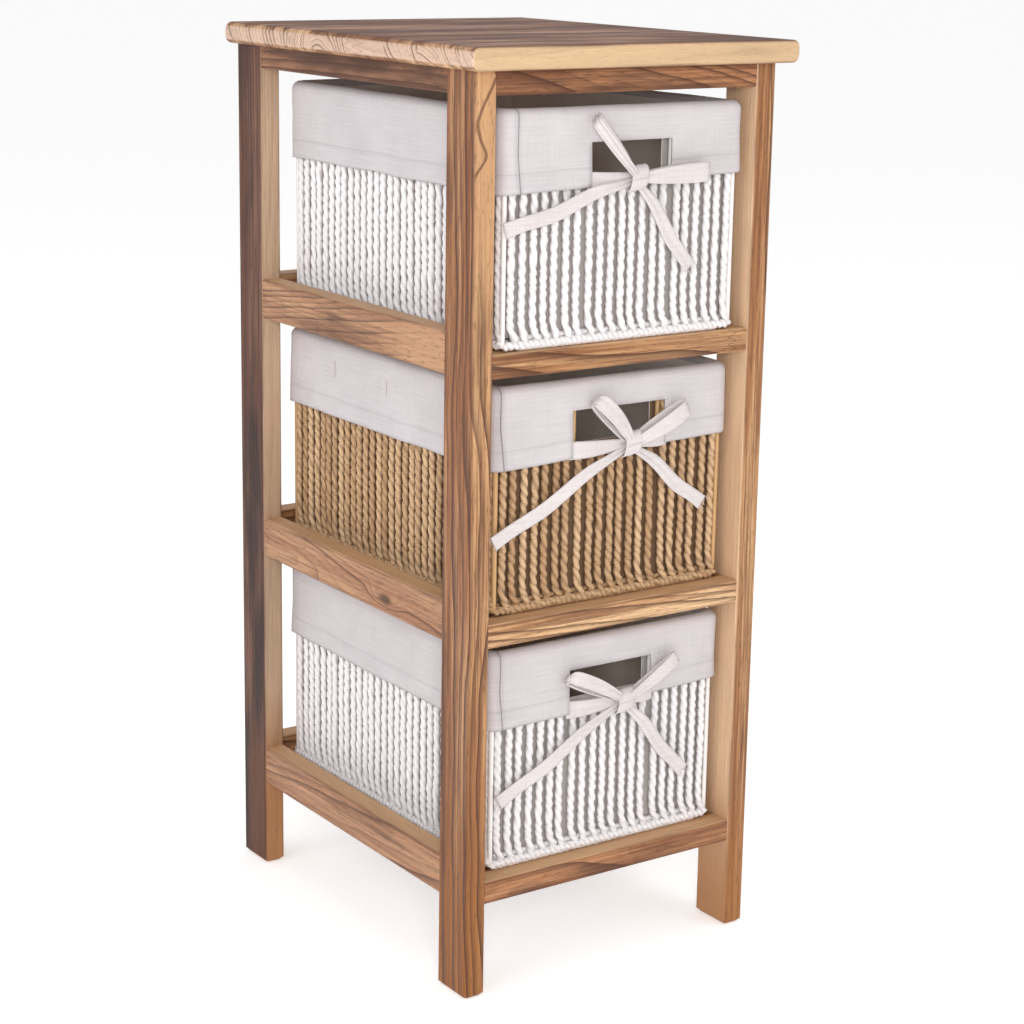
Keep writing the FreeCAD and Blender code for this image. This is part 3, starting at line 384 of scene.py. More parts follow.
def rope_tree():
    """A rope along every path of a mesh of edges: one tube with two plies and the grooves between them."""
    tree, root, inputs = new_group(
        "Twisted rope",
        [
            ("Path", "Geometry", None),
            ("Rope Width", "Float", 0.006),
            ("Lay", "Float", 0.021),
            ("Groove", "Float", 0.3),
            ("Wobble", "Float", 0.0006),
            ("Step", "Float", 0.0022),
            ("Sides", "Int", 14),
            ("Seed", "Int", 1),
            ("Centre", "Vector", None),
            ("Facing", "Vector", None),
            ("Material", "Material", None),
        ],
    )

    def keep(geometry, name, value, kind="FLOAT"):
        stored = {"Geometry": geometry, "Name": name, "Value": value}
        return root.node("GeometryNodeStoreNamedAttribute", {"data_type": kind}, stored)

    def kept(name, kind="FLOAT"):
        return root.node("GeometryNodeInputNamedAttribute", {"data_type": kind}, {"Name": name}, "Attribute")

    def drawn(low, high, number):
        span = {"Min": low, "Max": high, "ID": curve_number, "Seed": inputs["Seed"] + number}
        return root.node("FunctionNodeRandomValue", {"data_type": "FLOAT"}, span)

    curve = root.node("GeometryNodeMeshToCurve", None, {"Mesh": inputs["Path"]})
    even = {"Curve": curve, "Length": inputs["Step"]}
    curve = root.node("GeometryNodeResampleCurve", {"mode": "LENGTH"}, even)
    place = root.node("GeometryNodeInputPosition")
    cloud = root.noise(place, 42.0, 1.0, inputs["Seed"], 0.5, "Color")
    centred = root.node("ShaderNodeVectorMath", {"operation": "ADD"}, {0: cloud, 1: (-0.5, -0.5, -0.5)})
    stray = centred.scaled(inputs["Wobble"] * 2)
    curve = root.node("GeometryNodeSetPosition", None, {"Geometry": curve, "Offset": stray})
    curve_number = root.node("GeometryNodeCurveOfPoint")
    along = root.node("GeometryNodeSplineParameter", output="Length")
    slack = root.noise(place, 62.0, 1.0, 3.0)
    turn = along / inputs["Lay"] * -FULL_TURN + drawn(0.0, FULL_TURN, 0) + slack * 7.0
    curve = keep(curve, "rope_along", along)
    curve = keep(curve, "rope_shade", drawn(0.0, 1.0, 7))
    curve = keep(curve, "rope_turn", turn)
    curve = keep(curve, "rope_middle", place, "FLOAT_VECTOR")
    ring = round_outline(root, inputs["Sides"], inputs["Rope Width"])
    ring = keep(ring, "rope_round", root.node("GeometryNodeSplineParameter", output="Factor"))
    tube = drawn_along(root, curve, ring)
    angle = kept("rope_round") * FULL_TURN - kept("rope_turn")
    across = root.maths("COSINE", angle)
    aside = root.maths("SINE", angle)
    hollow = abs(aside) ** 2.6
    swell = root.noise(place, 260.0, 1.0, inputs["Seed"]) * 0.22 + 0.89
    middle = kept("rope_middle", "FLOAT_VECTOR")
    reach = (1 - hollow * inputs["Groove"]) * swell
    shaped = middle + (place - middle).scaled(reach)
    tube = root.node("GeometryNodeSetPosition", None, {"Geometry": tube, "Position": shaped})
    # rope_out: how far a point of the tube faces out of its wall, 1 where a rope has no facing; the rope
    # material paints shade where it is low
    facing = inputs["Facing"]
    side = root.maths("SIGN", (middle - inputs["Centre"]).dot(facing))
    outward = (place - middle).dot(facing) * side * 2 / inputs["Rope Width"]
    tube = keep(tube, "rope_out", outward + 1 - facing.dot(facing))
    tube = keep(tube, "rope_lobe", root.joined(across, aside, kept("rope_along")), "FLOAT_VECTOR")
    end_group(root, tube, inputs["Material"])
    return tree


def rod_tree():
    """A round rod along every path of a mesh of edges, for wires and loose threads."""
    tree, root, inputs = new_group(
        "Round rod",
        [
            ("Path", "Geometry", None),
            ("Rod Width", "Float", 0.003),
            ("Sides", "Int", 10),
            ("Material", "Material", None),
        ],
    )
    curve = root.node("GeometryNodeMeshToCurve", None, {"Mesh": inputs["Path"]})
    ring = round_outline(root, inputs["Sides"], inputs["Rod Width"])
    end_group(root, drawn_along(root, curve, ring), inputs["Material"])
    return tree


def path_mesh(name, lines):
    """A mesh of edges, one open path for each list of points."""
    points = []
    edges = []
    for line in lines:
        start = len(points)
        points += [tuple(point) for point in line]
        edges += [(start + step, start + step + 1) for step in range(len(line) - 1)]
    mesh = bpy.data.meshes.new(name)
    mesh.from_pydata(points, edges, [])
    return mesh


def link_object(name, mesh):
    obj = bpy.data.objects.new(name, mesh)
    bpy.context.scene.collection.objects.link(obj)
    return obj


def grow(name, lines, tree, values):
    """Run a geometry tree on paths and keep its result as a plain mesh."""
    obj = link_object(name, path_mesh(f"{name}_path", lines))
    modifier = obj.modifiers.new(tree.name, "NODES")
    modifier.node_group = tree
    for item in tree.interface.items_tree:
        if item.item_type == "SOCKET" and item.in_out == "INPUT" and item.name in values:
            modifier[item.identifier] = values[item.name]
    graph = bpy.context.evaluated_depsgraph_get()
    grown = obj.evaluated_get(graph)
    mesh = bpy.data.meshes.new_from_object(grown, preserve_all_data_layers=True, depsgraph=graph)
    if not mesh.polygons:
        raise RuntimeError(f"{name} came out empty")
    obj.modifiers.clear()
    obj.data = mesh
    mesh.name = name
    return obj


def basket_place(basket):
    """Middle of the basket's bottom."""
    low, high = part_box(f"{basket}_basket_liner")
    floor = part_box(f"{basket}_basket_bottom_rope")[0].z
    return Vector(((low.x + high.x) / 2, (low.y + high.y) / 2, floor))


def wall_point(wall, along, out, up):
    """A point of a basket wall, from its own run, outward distance and height."""
    if wall == "front":
        return Vector((along, -POST_Y - out, up))
    if wall == "back":
        return Vector((-along, POST_Y + out, up))
    if wall == "left":
        return Vector((-POST_X - out, -along, up))
    return Vector((POST_X + out, along, up))


def smooth_line(keys, spacing):
    """Points along a smooth curve through the keys, which are vectors of any size."""
    line = []
    for index in range(len(keys) - 1):
        before = keys[max(index - 1, 0)]
        first, second = keys[index], keys[index + 1]
        after = keys[min(index + 2, len(keys) - 1)]
        count = max(1, round((second - first).length / spacing))
        for step in range(count):
            t = step / count
            line.append(
                0.5
                * (
                    2 * first
                    + (second - before) * t
                    + (2 * before - 5 * first + 4 * second - after) * t**2
                    + (3 * first - before - 3 * second + after) * t**3
                )
            )
    return line + [keys[-1]]


def front_runs():
    """Place and height of each front rope; the middle ones end under the handle."""
    runs = []
    place = FRONT_FIRST
    for group, count in enumerate(FRONT_COUNTS):
        for index in range(count):
            runs.append((place, HANDLE_Z - 0.003 if group == 1 else WALL_TOP))
            place += FRONT_PITCH if index < count - 1 else FRONT_BESIDE_HANDLE
    return runs


def wall_runs(wall):
    if wall == "front":
        return front_runs()
    if wall == "back":
        pitch = -2 * FRONT_FIRST / (BACK_COUNT - 1)
        return [(FRONT_FIRST + pitch * index, WALL_TOP) for index in range(BACK_COUNT)]
    pitch = -2 * SIDE_FIRST / (SIDE_COUNT - 1)
    return [(SIDE_FIRST + pitch * index, WALL_TOP) for index in range(SIDE_COUNT)]


def wall_strands(wall, draw):
    """Rope paths of one wall: down from the rim, then slanting round the bottom wire."""
    lines = []
    for place, top in wall_runs(wall):
        here = place + draw.uniform(-0.0005, 0.0005)
        lean = draw.uniform(-0.0007, 0.0007)
        slant = draw.uniform(0.8, 1.15) * FRONT_PITCH
        bulge = draw.uniform(0.0, 0.0005)
        keys = [
            (here + lean, 0.0, top),
            (here + lean * 0.3, bulge, top * 0.6),
            (here, 0.0002, 0.018),
            (here + slant * 0.1, 0.0004, 0.0125),
            (here + slant * 0.3, 0.0006, 0.009),
            (here + slant * 0.45, 0.0002, 0.006),
        ]
        lines.append(smooth_line([wall_point(wall, *key) for key in keys], 0.004))
    return lines


def wire_coil(wall, out, height, inset, pitch):
    """Rope wound round the rim or bottom wire of one wall."""
    across = wall in ("front", "back")
    half = (POST_X if across else POST_Y) - inset
    height += 0.0 if across else 0.0005
    turns = round(2 * half / pitch)
    steps = 10
    line = []
    for step in range(turns * steps + 1):
        angle = FULL_TURN * step / steps
        along = -half + 2 * half * step / (turns * steps)
        away = out + COIL_OUT * math.cos(angle)
        line.append(wall_point(wall, along, away, height - COIL_UP * math.sin(angle)))
    return line


def border_filling(wall):
    """Straight ropes inside the wound border, which close it to the light and let it lie on the rail."""
    across = wall in ("front", "back")
    half = POST_X - 0.012 if across else POST_Y - 0.004
    spots = ((0.0014, 0.0018 if across else 0.0032), (-0.0024, 0.0072))
    return [[wall_point(wall, share * half, out, up) for share in SPREAD] for out, up in spots]


def floor_strands(draw):
    pitch = -2 * FLOOR_FIRST / (FLOOR_COUNT - 1)
    lines = []
    for index in range(FLOOR_COUNT):
        x = FLOOR_FIRST + pitch * index + draw.uniform(-0.0006, 0.0006)
        keys = [Vector((x, share * (POST_Y - 0.0065), 0.0034)) for share in SPREAD]
        lines.append(smooth_line(keys, 0.01))
    return lines


def moved(lines, place):
    return [[point + place for point in line] for line in lines]


def rope_material(name, colour, shadow, hollow, depth):
    """Twisted paper: creased along each ply, paler on its crown, with painted shade in the groove between the
    plies and on each rope's sides that face its neighbours and the liner.
    """
    material, root, shader = new_material(name)
    shade = root.mark("rope_shade")
    place = root.spot()
    across, aside, along = root.mark("rope_lobe", "Vector").parts()
    # The groove between the two plies: dented in the bump, and darkened below as painted shade
    groove = abs(aside) ** 4.0
    # Painted shade on the sides of a rope that face its neighbours and the liner behind it
    painted_crevice_shade = 1 - root.mark("rope_out").rise(-0.15, 0.42)
    plies = root.joined(across * 2.6, aside * 2.6, along * 110 + shade * 50)
    crease = root.noise(plies, 1.0, 3.0, 1.0, 0.65)
    blotch = root.noise(place, 130.0, 2.0, 5.0)
    fleck = root.noise(place, 800.0, 1.0, 9.0).rise(0.58, 0.72)
    tone = crease * 0.6 + blotch * 0.3 + shade * 0.22
    colours = root.mix(tone.rise(0.3, 0.78), shadow, colour)
    # hollow is the colour of the paper's dark flecks, and of the painted shade below
    colours = root.mix(fleck * 0.22, colours, hollow)
    # Painted shade in the groove between the plies and on the sides that face the neighbours
    colours = root.mix(groove * depth, colours, hollow)
    colours = root.mix(painted_crevice_shade * 0.6, colours, hollow)
    normal = bump(root, crease * 0.8 + blotch * 0.3 - groove * 0.4, 0.0008, 0.6)
    feed(root, shader, Base_Color=colours, Roughness=0.5 + crease * 0.25, Normal=normal)
    feed(root, shader, Specular_IOR_Level=0.3)
    return material


def wire_material(name, colour):
    """Painted wire with small rubs."""
    material, root, shader = new_material(name)
    place = root.spot()
    rub = root.noise(place, 260.0, 3.0, 2.0).rise(0.58, 0.75)
    grit = root.noise(place, 1500.0, 1.0, 4.0)
    feed(root, shader, Base_Color=root.mix(rub * 0.5, colour, dimmed(colour, 0.6)))
    feed(root, shader, Roughness=0.4 + rub * 0.25, Normal=bump(root, grit, 0.0002, 0.3))
    return material


def cloth_material(name, colour, dark, inside, settings):
    """Plain woven linen with slubs, seam lines of painted shade and a stitched line above the hem; the cloth
    inside the basket takes its own colour, painted light on the liner and painted shade on its reverse.
    """
    material, root, shader = new_material(name)
    flat = root.node("ShaderNodeUVMap", {"uv_map": "cloth"})
    u, v = flat.parts()[:2]

    def wave(way, length):
        return root.maths("SINE", way * (FULL_TURN / length))

    def flecked(across, up, detail, seed):
        return root.noise(root.joined(u * across, v * up, 0.0), 1.0, detail, seed)

    checks = wave(u + v, 2 * WEAVE) * wave(u - v, 2 * WEAVE)
    weave = root.maths("MAXIMUM", wave(v, WEAVE) * checks, wave(u, WEAVE) * checks * -1)
    slub = flecked(30, 700, 3.0, 3.0)
    thread = flecked(900, 40, 2.0, 8.0)
    cloud = flecked(25, 25, 3.0, 5.0)
    fleck = flecked(420, 420, 1.0, 12.0).rise(0.68, 0.78)
    tone = slub * 0.6 + thread * 0.35 + cloud * 0.6
    colours = root.mix(tone.rise(0.5, 1.05), dark, colour)
    colours = root.mix(fleck * 0.18, colours, settings.seam)
    hem = root.mark("hem")
    # Cloth inside the basket takes the inside colour: painted light on the liner, painted shade on its
    # reverse
    colours = root.mix(hem.rise(0.4, 0.8) * 0.95, colours, inside)
    from_seam = abs(root.mark("seam"))
    line = 1 - from_seam.rise(0.0002, 0.0006)
    dent = 1 - from_seam.rise(0.0, 0.0045)
    dashes = wave(u, STITCH).rise(-0.4, 0.4)
    from_stitch = abs(hem - STITCH_Z)
    stitch = (1 - from_stitch.rise(0.0002, 0.0007)) * (0.45 + dashes * 0.55)
    casing = 1 - from_stitch.rise(0.0, 0.003)
    edge = 1 - hem.rise(0.0, 0.0012)
    # Painted shade in the dent beside the seam and along the casing
    colours = root.mix(dent * 0.18 + casing * 0.05, colours, settings.seam)
    # The stitches, and a darker band along the hem's edge
    colours = root.mix(stitch * 0.14 + edge * 0.25, colours, settings.seam)
    # Painted shade along the seam line
    colours = root.mix(line * 0.65, colours, settings.seam)
    height = weave * 0.25 + slub * 0.6 + thread * 0.6 - dent * 1.2 - casing * 0.8
    feed(root, shader, Base_Color=colours, Roughness=0.88 + slub * 0.1)
    feed(root, shader, Normal=bump(root, height, 0.0005, 0.55), Specular_IOR_Level=0.15, Sheen_Weight=0.15)
    return material


def wood_material(name, box, grain, look, settings):
    """Torched wood: rings round an off-centre pith, fibre streaks, pores, scorched patches and edges; some
    faces carry painted light and others painted shade.
    """
    material, root, shader = new_material(name)
    low, high = box
    middle = (low + high) / 2
    half = [part / MM for part in (high - low) / 2]
    shift = tuple(-part / MM for part in middle)
    centred = {"Vector": root.spot(), "Location": shift, "Scale": (1000, 1000, 1000)}
    axes = root.node("ShaderNodeMapping", None, centred).parts()
    along = axes[grain]
    cross = [index for index in range(3) if index != grain]
    first, second = [axes[index] for index in cross]
    seed = look["seed"]

    def streaks(length, width, number, detail=2.0, rough=0.5):
        stretched = root.joined(first / width, second / width, along / length)
        return root.noise(stretched, 1.0, detail, seed + number, rough)

    def on_face(axis, side):
        return (axes[axis] * side).rise(half[axis] - 1.3, half[axis] - 0.3)

    bend = (streaks(150, 34, 1.7, 1.0) - 0.5) * look.get("bend", 16)
    sway = (streaks(60, 14, 4.1, 1.0) - 0.5) * look.get("sway", 4)
    tilt_first, tilt_second = look.get("tilt", (0.02, 0.03))
    pith_first, pith_second = look["pith"]
    ring = settings.ring / MM * look.get("ring", 1.0)
    if "staves" in look:
        share = (first + half[cross[0]]) / (2 * half[cross[0]])
        stave = root.node("ShaderNodeValToRGB", {"steps": look["staves"]}, {"Fac": share}, "Color")
        pith_first, pith_second, ring = stave.channels()
        pith_first = (pith_first - 0.5) * 400
        pith_second = (pith_second - 0.5) * 400
        ring = ring * 20
    u = first + along * tilt_first - pith_first + bend
    v = second + along * tilt_second - pith_second + sway
    core = 0.0
    for spot, axis, across, size in look.get("knots", ()):
        run = (along - spot) * 0.4
        rise = axes[axis] - across
        away = (run * run + rise * rise) ** 0.5 / size
        v = v + (1 - away.rise(0.0, 1.6)) * size * 1.8
        core = core + (1 - away.rise(0.15, 0.6))
    rings = (u * u + v * v) ** 0.5 / ring
    whole = root.maths("FLOOR", rings)
    part = rings - whole
    force = root.node("ShaderNodeTexWhiteNoise", {"noise_dimensions": "1D"}, {"W": whole + seed}, "Value")
    line = part ** look.get("sharp", 2.4) * (0.25 + 0.75 * force.rise(0.25, 0.6))
    coarse = look.get("coarse", 1.0)
    band = streaks(230, 10 * coarse, 2.3, 3.0, 0.6).rise(0.38, 0.62)
    thin = streaks(90, 2.0 * coarse, 5.1, 3.0, 0.6).rise(0.42, 0.62)
    fine = streaks(20, 0.5, 7.9, 2.0)
    pores = streaks(6, 0.6, 5.5, 0.0).rise(0.62, 0.76)
    patch = streaks(150, 26, 9.2, 3.0, 0.6)
    char = look.get("char", 0.3)
    scorch = patch.rise(0.68 - 0.34 * char, 0.9 - 0.3 * char)

    honey, brown = look.get("tones", (settings.honey, settings.brown))
    colours = root.mix(band, brown, honey)
    colours = root.mix(thin * look.get("thin", 0.75), colours, settings.streak)
    lines = line * look.get("lines", 0.95)
    if "calm" in look:
        way, start, end, *face = look["calm"]
        plain = (along * way).rise(start, end)
        if face:
            plain = plain * on_face(*face)
        colours = root.mix(plain * 0.7, colours, honey)
        lines = lines * (1 - plain * 0.8)
        scorch = scorch * (1 - plain)
    # Face colours: some are the wood's own tone; the paler tone on faces that look into the stand is painted
    # light and the rosy tone on left faces is painted shade
    for axis, side, colour, amount, smooth in look.get("faces", ()):
        mask = on_face(axis, side)
        colours = root.mix(mask * amount, colours, colour)
        lines = lines * (1 - mask * smooth)
        pores = pores * (1 - mask * smooth)
        scorch = scorch * (1 - mask * smooth)
    if "burn" in look:
        foot, rest = look["burn"]
        colours = root.mix((0 - axes[2]).rise(foot, rest) * 0.8, colours, srgb(164, 104, 46))
    colours = root.mix(scorch * 0.85 + core * 0.8, colours, settings.char)
    colours = root.mix(lines, colours, settings.line)
    colours = root.mix(pores * 0.42, colours, settings.line)
    colours = root.mix(0.7, colours, root.mix(fine, (0.55, 0.5, 0.46), (1.0, 1.0, 1.0)), "MULTIPLY")
    # Painted shade: whole faces darkened by a tint
    for axis, side, tint in look.get("painted_shade_tints", ()):
        colours = root.mix(on_face(axis, side), colours, root.mix(1.0, colours, tint, "MULTIPLY"))
    if "swirl" in look:
        start, end, stops, axis, side = look["swirl"]
        share = (along - start) / (end - start)
        path = root.node("ShaderNodeValToRGB", {"bends": stops}, {"Fac": share}, "Color").channels()[0]
        miss = abs(first / half[cross[0]] - (path * 2 - 1)) * half[cross[0]]
        drawn = 1 - (miss * (0.55 + streaks(14, 9, 6.6, 1.0) * 0.9)).rise(0.6, 1.9)
        drawn = drawn * on_face(axis, side) * share.rise(0.02, 0.12)
        colours = root.mix(drawn * 0.7, colours, settings.line)
    for run, rise, at, reach, pitch, axis, side in look.get("fingers", ()):
        share = axes[rise] / pitch
        tooth = abs(share - root.maths("FLOOR", share) - 0.5) * 2
        miss = abs(axes[run] - at - tooth * reach)
        glue = (1 - miss.rise(0.25, 0.75)) * on_face(axis, side)
        colours = root.mix(glue * 0.75, colours, settings.line)
    gaps = [half[index] - abs(axes[index]) for index in cross]
    edge = 1 - root.maths("MAXIMUM", gaps[0], gaps[1]).rise(0.5, 2.4)
    edge = edge * streaks(60, 6, 3.3, 2.0).rise(0.3, 0.7)
    colours = root.mix(edge * 0.55, colours, settings.line)
    height = thin * -0.4 + fine * 0.4 - line * 0.8 - pores * 0.8
    feed(root, shader, Base_Color=colours, Roughness=0.46 + fine * 0.2 - line * 0.1)
    feed(root, shader, Normal=bump(root, height, 0.0006, 0.5), Specular_IOR_Level=0.35)
    return material


def paint(obj, material):
    obj.data.materials.clear()
    obj.data.materials.append(material)


def grey_stops(*pairs):
    return [(place, (level, level, level, 1.0)) for place, level in pairs]


def wood_looks():
    """How each wooden piece was sawn and scorched, and the painted light and painted shade on some of its
    faces.
    """
    # A paler tone on the faces that look into the stand: painted light
    inner_face_light = srgb(222, 182, 148)
    pale = srgb(205, 176, 148)
    ledge = srgb(214, 172, 130)
    # A rosy tone on the left faces of the side rails: painted shade
    left_face_shade = srgb(188, 142, 116)
    shaded = (0.86, 0.8, 0.8)
    red = (srgb(196, 140, 98), srgb(150, 98, 64))
    bent_line = grey_stops((0.1, 0.05), (0.26, 0.52), (0.42, 0.26), (0.62, 0.2), (0.95, 0.92))
    looks = {}
    looks["leg_front_left"] = {
        "seed": 3.0, "pith": (40, -60), "tilt": (0.03, 0.012), "ring": 0.85, "char": 0.5, "bend": 30,
        "sway": 6, "lines": 1.0, "sharp": 1.8,
        # The tint on this leg's left face is painted shade
        "faces": [(0, 1, inner_face_light, 0.85, 0.7)], "painted_shade_tints": [(0, -1, shaded)], "burn": (120, 260),
        "calm": (1, 90, 230, 1, -1),
        "swirl": (236, 306, bent_line, 1, -1),
    }
    looks["leg_front_right"] = {
        "seed": 11.0, "pith": (40, 10), "tilt": (0.012, 0.02), "ring": 0.7, "char": 0.3,
        # This leg's inner face is painted paler: painted light
        "faces": [(0, -1, srgb(234, 198, 162), 0.9, 0.8)], "burn": (170, 300),
    }
    looks["leg_back_left"] = {
        "seed": 17.0, "pith": (-30, 40), "ring": 0.7, "lines": 0.6, "char": 0.75, "burn": (150, 260),
        # The dark tint on this leg's left face is painted shade
        "faces": [(1, -1, pale, 0.9, 0.8), (0, 1, inner_face_light, 0.85, 0.7)], "painted_shade_tints": [(0, -1, (0.35, 0.29, 0.38))],
    }
    looks["leg_back_right"] = {
        "seed": 23.0, "pith": (-34, 22), "ring": 0.8, "char": 0.5, "burn": (170, 300),
        "faces": [(0, -1, inner_face_light, 0.85, 0.7), (1, -1, pale, 0.8, 0.7)],
    }
    draw = random.Random(41)
    for level in LEVELS:
        for wall in WALLS:
            side_rail = wall in ("left", "right")
            looks[f"{wall}_rail_{level}"] = {
                "seed": draw.uniform(30, 90),
                "pith": (draw.choice((-1, 1)) * draw.uniform(12, 40), draw.uniform(-36, -12)),
                "tilt": (draw.uniform(-0.05, 0.05), draw.uniform(0.02, 0.12)),
                "ring": draw.uniform(0.7, 1.1),
                "char": draw.uniform(0.2, 0.45),
                "faces": [(2, 1, ledge, 0.9, 0.85)] + ([(0, -1, left_face_shade, 0.45, 0.0)] if side_rail else []),
                "grain": 1 if side_rail else 0,
            }
    looks["front_rail_top"].update({"tones": red, "char": 0.55, "ring": 0.6, "tilt": (0.02, 0.2)})
    looks["left_rail_top"].update({"tones": red, "char": 0.8})
    looks["left_rail_upper"].update({"pith": (-10, 60), "tilt": (0.02, 0.14), "ring": 0.62, "char": 0.6})
    looks["left_rail_upper"]["calm"] = (-1, 30, 90)
    looks["left_rail_lower"].update({"pith": (6, -16), "tilt": (0.03, -0.1), "ring": 0.62, "bend": 26})
    looks["left_rail_lower"].update({"lines": 1.0, "knots": [(-49, 2, -4, 8)]})
    looks["left_rail_bottom"].update({"pith": (20, -34), "tilt": (0.02, 0.1), "ring": 0.9})
    looks["front_rail_bottom"].update({"tones": red, "char": 0.6, "bend": 24, "sway": 8})
    # Lighter tones on the lower front rail: painted light against its shade
    looks["front_rail_lower"].update({"char": 0.1, "tones": (srgb(244, 204, 158), srgb(214, 164, 116))})
    looks["front_rail_upper"]["fingers"] = [(0, 2, 88, 7, 5.4, 1, -1)]
    for level in LEVELS[:3]:
        for side in ("left", "right"):
            looks[f"{side}_runner_{level}"] = {
                "seed": draw.uniform(100, 130), "pith": (20, -20), "grain": 1, "char": 0.2,
            }
    # Edge-glued staves of the tabletop from front to back: start along Y, pith along Y and Z, ring width
    staves = (
        (-160, -230, 30, 9.0), (-145, -100, -34, 2.6), (-97, 40, -90, 4.6), (-57, -60, 150, 11.0),
        (-12, 22, -16, 3.4), (36, 190, 10, 2.9), (70, 190, -36, 4.4),
    )
    stops = []
    for start, pith_y, pith_z, ring in staves:
        stops.append(((start + 160) / 320, (pith_y / 400 + 0.5, pith_z / 400 + 0.5, ring / 20, 1.0)))
    looks["tabletop"] = {
        "seed": 7.0, "pith": (10, -45), "tilt": (0.05, 0.01), "char": 0.4, "grain": 0, "staves": stops,
        "coarse": 6.0, "bend": 8, "sway": 3, "thin": 0.95, "tones": (srgb(236, 192, 148), srgb(150, 100, 62)),
        "faces": [
            (1, -1, srgb(222, 190, 150), 0.9, 0.7),
            (0, -1, srgb(232, 200, 178), 0.9, 0.0),
        ],
        # The tint on the top face is painted shade
        "painted_shade_tints": [(2, 1, (0.64, 0.57, 0.68))],
        "fingers": [(1, 2, -29, 12, 5.0, 0, -1), (1, 2, -15, 12, 5.0, 0, -1)],
    }
    return looks


def closed_outline(half_x, half_y, radius, stops_x, stops_y):
    """Rounded rectangle seen from above, anticlockwise from the front left."""
    turns = 7
    points = [(x, -half_y) for x in stops_x]

    def corner(centre_x, centre_y, start):
        for step in range(turns):
            angle = math.radians(start + 90 * step / (turns - 1))
            points.append((centre_x + radius * math.cos(angle), centre_y + radius * math.sin(angle)))

    corner(half_x - radius, -half_y + radius, -90)
    points.extend((half_x, y) for y in stops_y)
    corner(half_x - radius, half_y - radius, 0)
    points.extend((x, half_y) for x in reversed(stops_x))
    corner(-half_x + radius, half_y - radius, 90)
    points.extend((-half_x, y) for y in reversed(stops_y))
    corner(-half_x + radius, -half_y + radius, 180)
    return points


def stops_between(marks, spacing):
    """Even stops of at most the spacing that also hit every mark."""
    stops = []
    for first, second in zip(marks, marks[1:]):
        count = max(1, math.ceil((second - first) / spacing))
        stops += [first + (second - first) * step / count for step in range(count)]
    return stops + [marks[-1]]


LINER_LOOKS = {
    "top": {
        "seed": 1.0, "notch": (-0.029, 0.0365), "notch_top": 0.1305, "hem": (0.0995, 0.1055), "seam": -0.0857,
    },
    "middle": {
        "seed": 2.0, "notch": (-0.0346, 0.0414), "notch_top": 0.1325, "hem": (0.098, 0.1045), "seam": -0.0915,
    },
    "bottom": {
        "seed": 3.0, "notch": (-0.0326, 0.0359), "notch_top": 0.1315, "hem": (0.099, 0.106), "seam": -0.0893,
    },
}
HAND_HOLE = (HANDLE_LEFT + 0.0033, HANDLE_RIGHT - 0.0033)
HAND_HOLE_Z = (0.1082, 0.1432)


def hem_height(look, x, y):
    """The hem slopes up from the left to the right of the basket."""
    share = (x + CUFF_FACE_X) / (2 * CUFF_FACE_X)
    ripple = 0.0009 * noise.noise(Vector((x * 26, y * 26, look["seed"])))
    return look["hem"][0] + (look["hem"][1] - look["hem"][0]) * share + ripple


def liner_rows():
    """Levels of the cloth from the hem over the rim and down to the floor: part, share, height."""
    rows = [("cuff", step / 9, None) for step in range(10)]
    rows += [("upper", step / 4, None) for step in range(1, 5)]
    rows += [("rim", step / 8, None) for step in range(1, 8)]
    marks = [BAG_FLOOR_Z + BAG_TURN, 0.06, *HAND_HOLE_Z, RIM_Z]
    rows += [("bag", 0, z) for z in reversed(stops_between(marks, CLOTH_STEPS[2]))]
    rows += [("turn", step / 4, None) for step in range(1, 5)]
    rows += [("floor", share, None) for share in (0.85, 0.65, 0.45, 0.25, 0.08)]
    return rows


def liner_mesh(basket, settings):
    """One sheet of cloth: cuff with its notch, rim fold, bag with its hand hole and floor."""
    look = LINER_LOOKS[basket]
    left, right = look["notch"]
    # Straight stretch of each wall, the same on every level so that the rows match
    reach_x = BAG_X - 0.0071
    reach_y = BAG_Y - 0.0101
    stops_x = stops_between(sorted([-reach_x, left, *HAND_HOLE, right, reach_x]), CLOTH_STEPS[0])
    stops_y = stops_between([-reach_y, reach_y], CLOTH_STEPS[1])
    rows = liner_rows()
    points = []
    for part, share, level in rows:
        if part in ("cuff", "upper"):
            outline = closed_outline(CUFF_FACE_X, CUFF_FACE_Y, CUFF_CORNER, stops_x, stops_y)
        elif part == "rim":
            swing = math.cos(math.pi * share)
            half_x = POST_X + (CUFF_FACE_X - POST_X) * swing
            half_y = POST_Y + (CUFF_FACE_Y - POST_Y) * swing
            outline = closed_outline(half_x, half_y, 0.0065 + 0.002 * swing, stops_x, stops_y)
        elif part == "bag":
            outline = closed_outline(BAG_X, BAG_Y, BAG_CORNER, stops_x, stops_y)
        elif part == "turn":
            inset = BAG_TURN * (1 - math.cos(math.pi / 2 * share))
            outline = closed_outline(BAG_X - inset, BAG_Y - inset, BAG_CORNER, stops_x, stops_y)
        else:
            wide = closed_outline(BAG_X - BAG_TURN, BAG_Y - BAG_TURN, BAG_CORNER, stops_x, stops_y)
            outline = [(x * share, y * share) for x, y in wide]
        ring = []
        for x, y in outline:
            hem = hem_height(look, x, y)
            if part == "cuff":
                z = hem + (look["notch_top"] - hem) * share
            elif part == "upper":
                z = look["notch_top"] + (RIM_Z - look["notch_top"]) * share
            elif part == "rim":
                z = RIM_Z + 0.0049 * math.sin(math.pi * share)
            elif part == "bag":
                z = level
            elif part == "turn":
                z = BAG_FLOOR_Z + BAG_TURN * (1 - math.sin(math.pi / 2 * share))
            else:
                z = BAG_FLOOR_Z + 0.0006 * noise.noise(Vector((x * 30, y * 30, 7.0)))
            ring.append(soften(Vector((x, y, z)), part, look, settings.crease))
        points.append(ring)
    return rows, points, stops_x


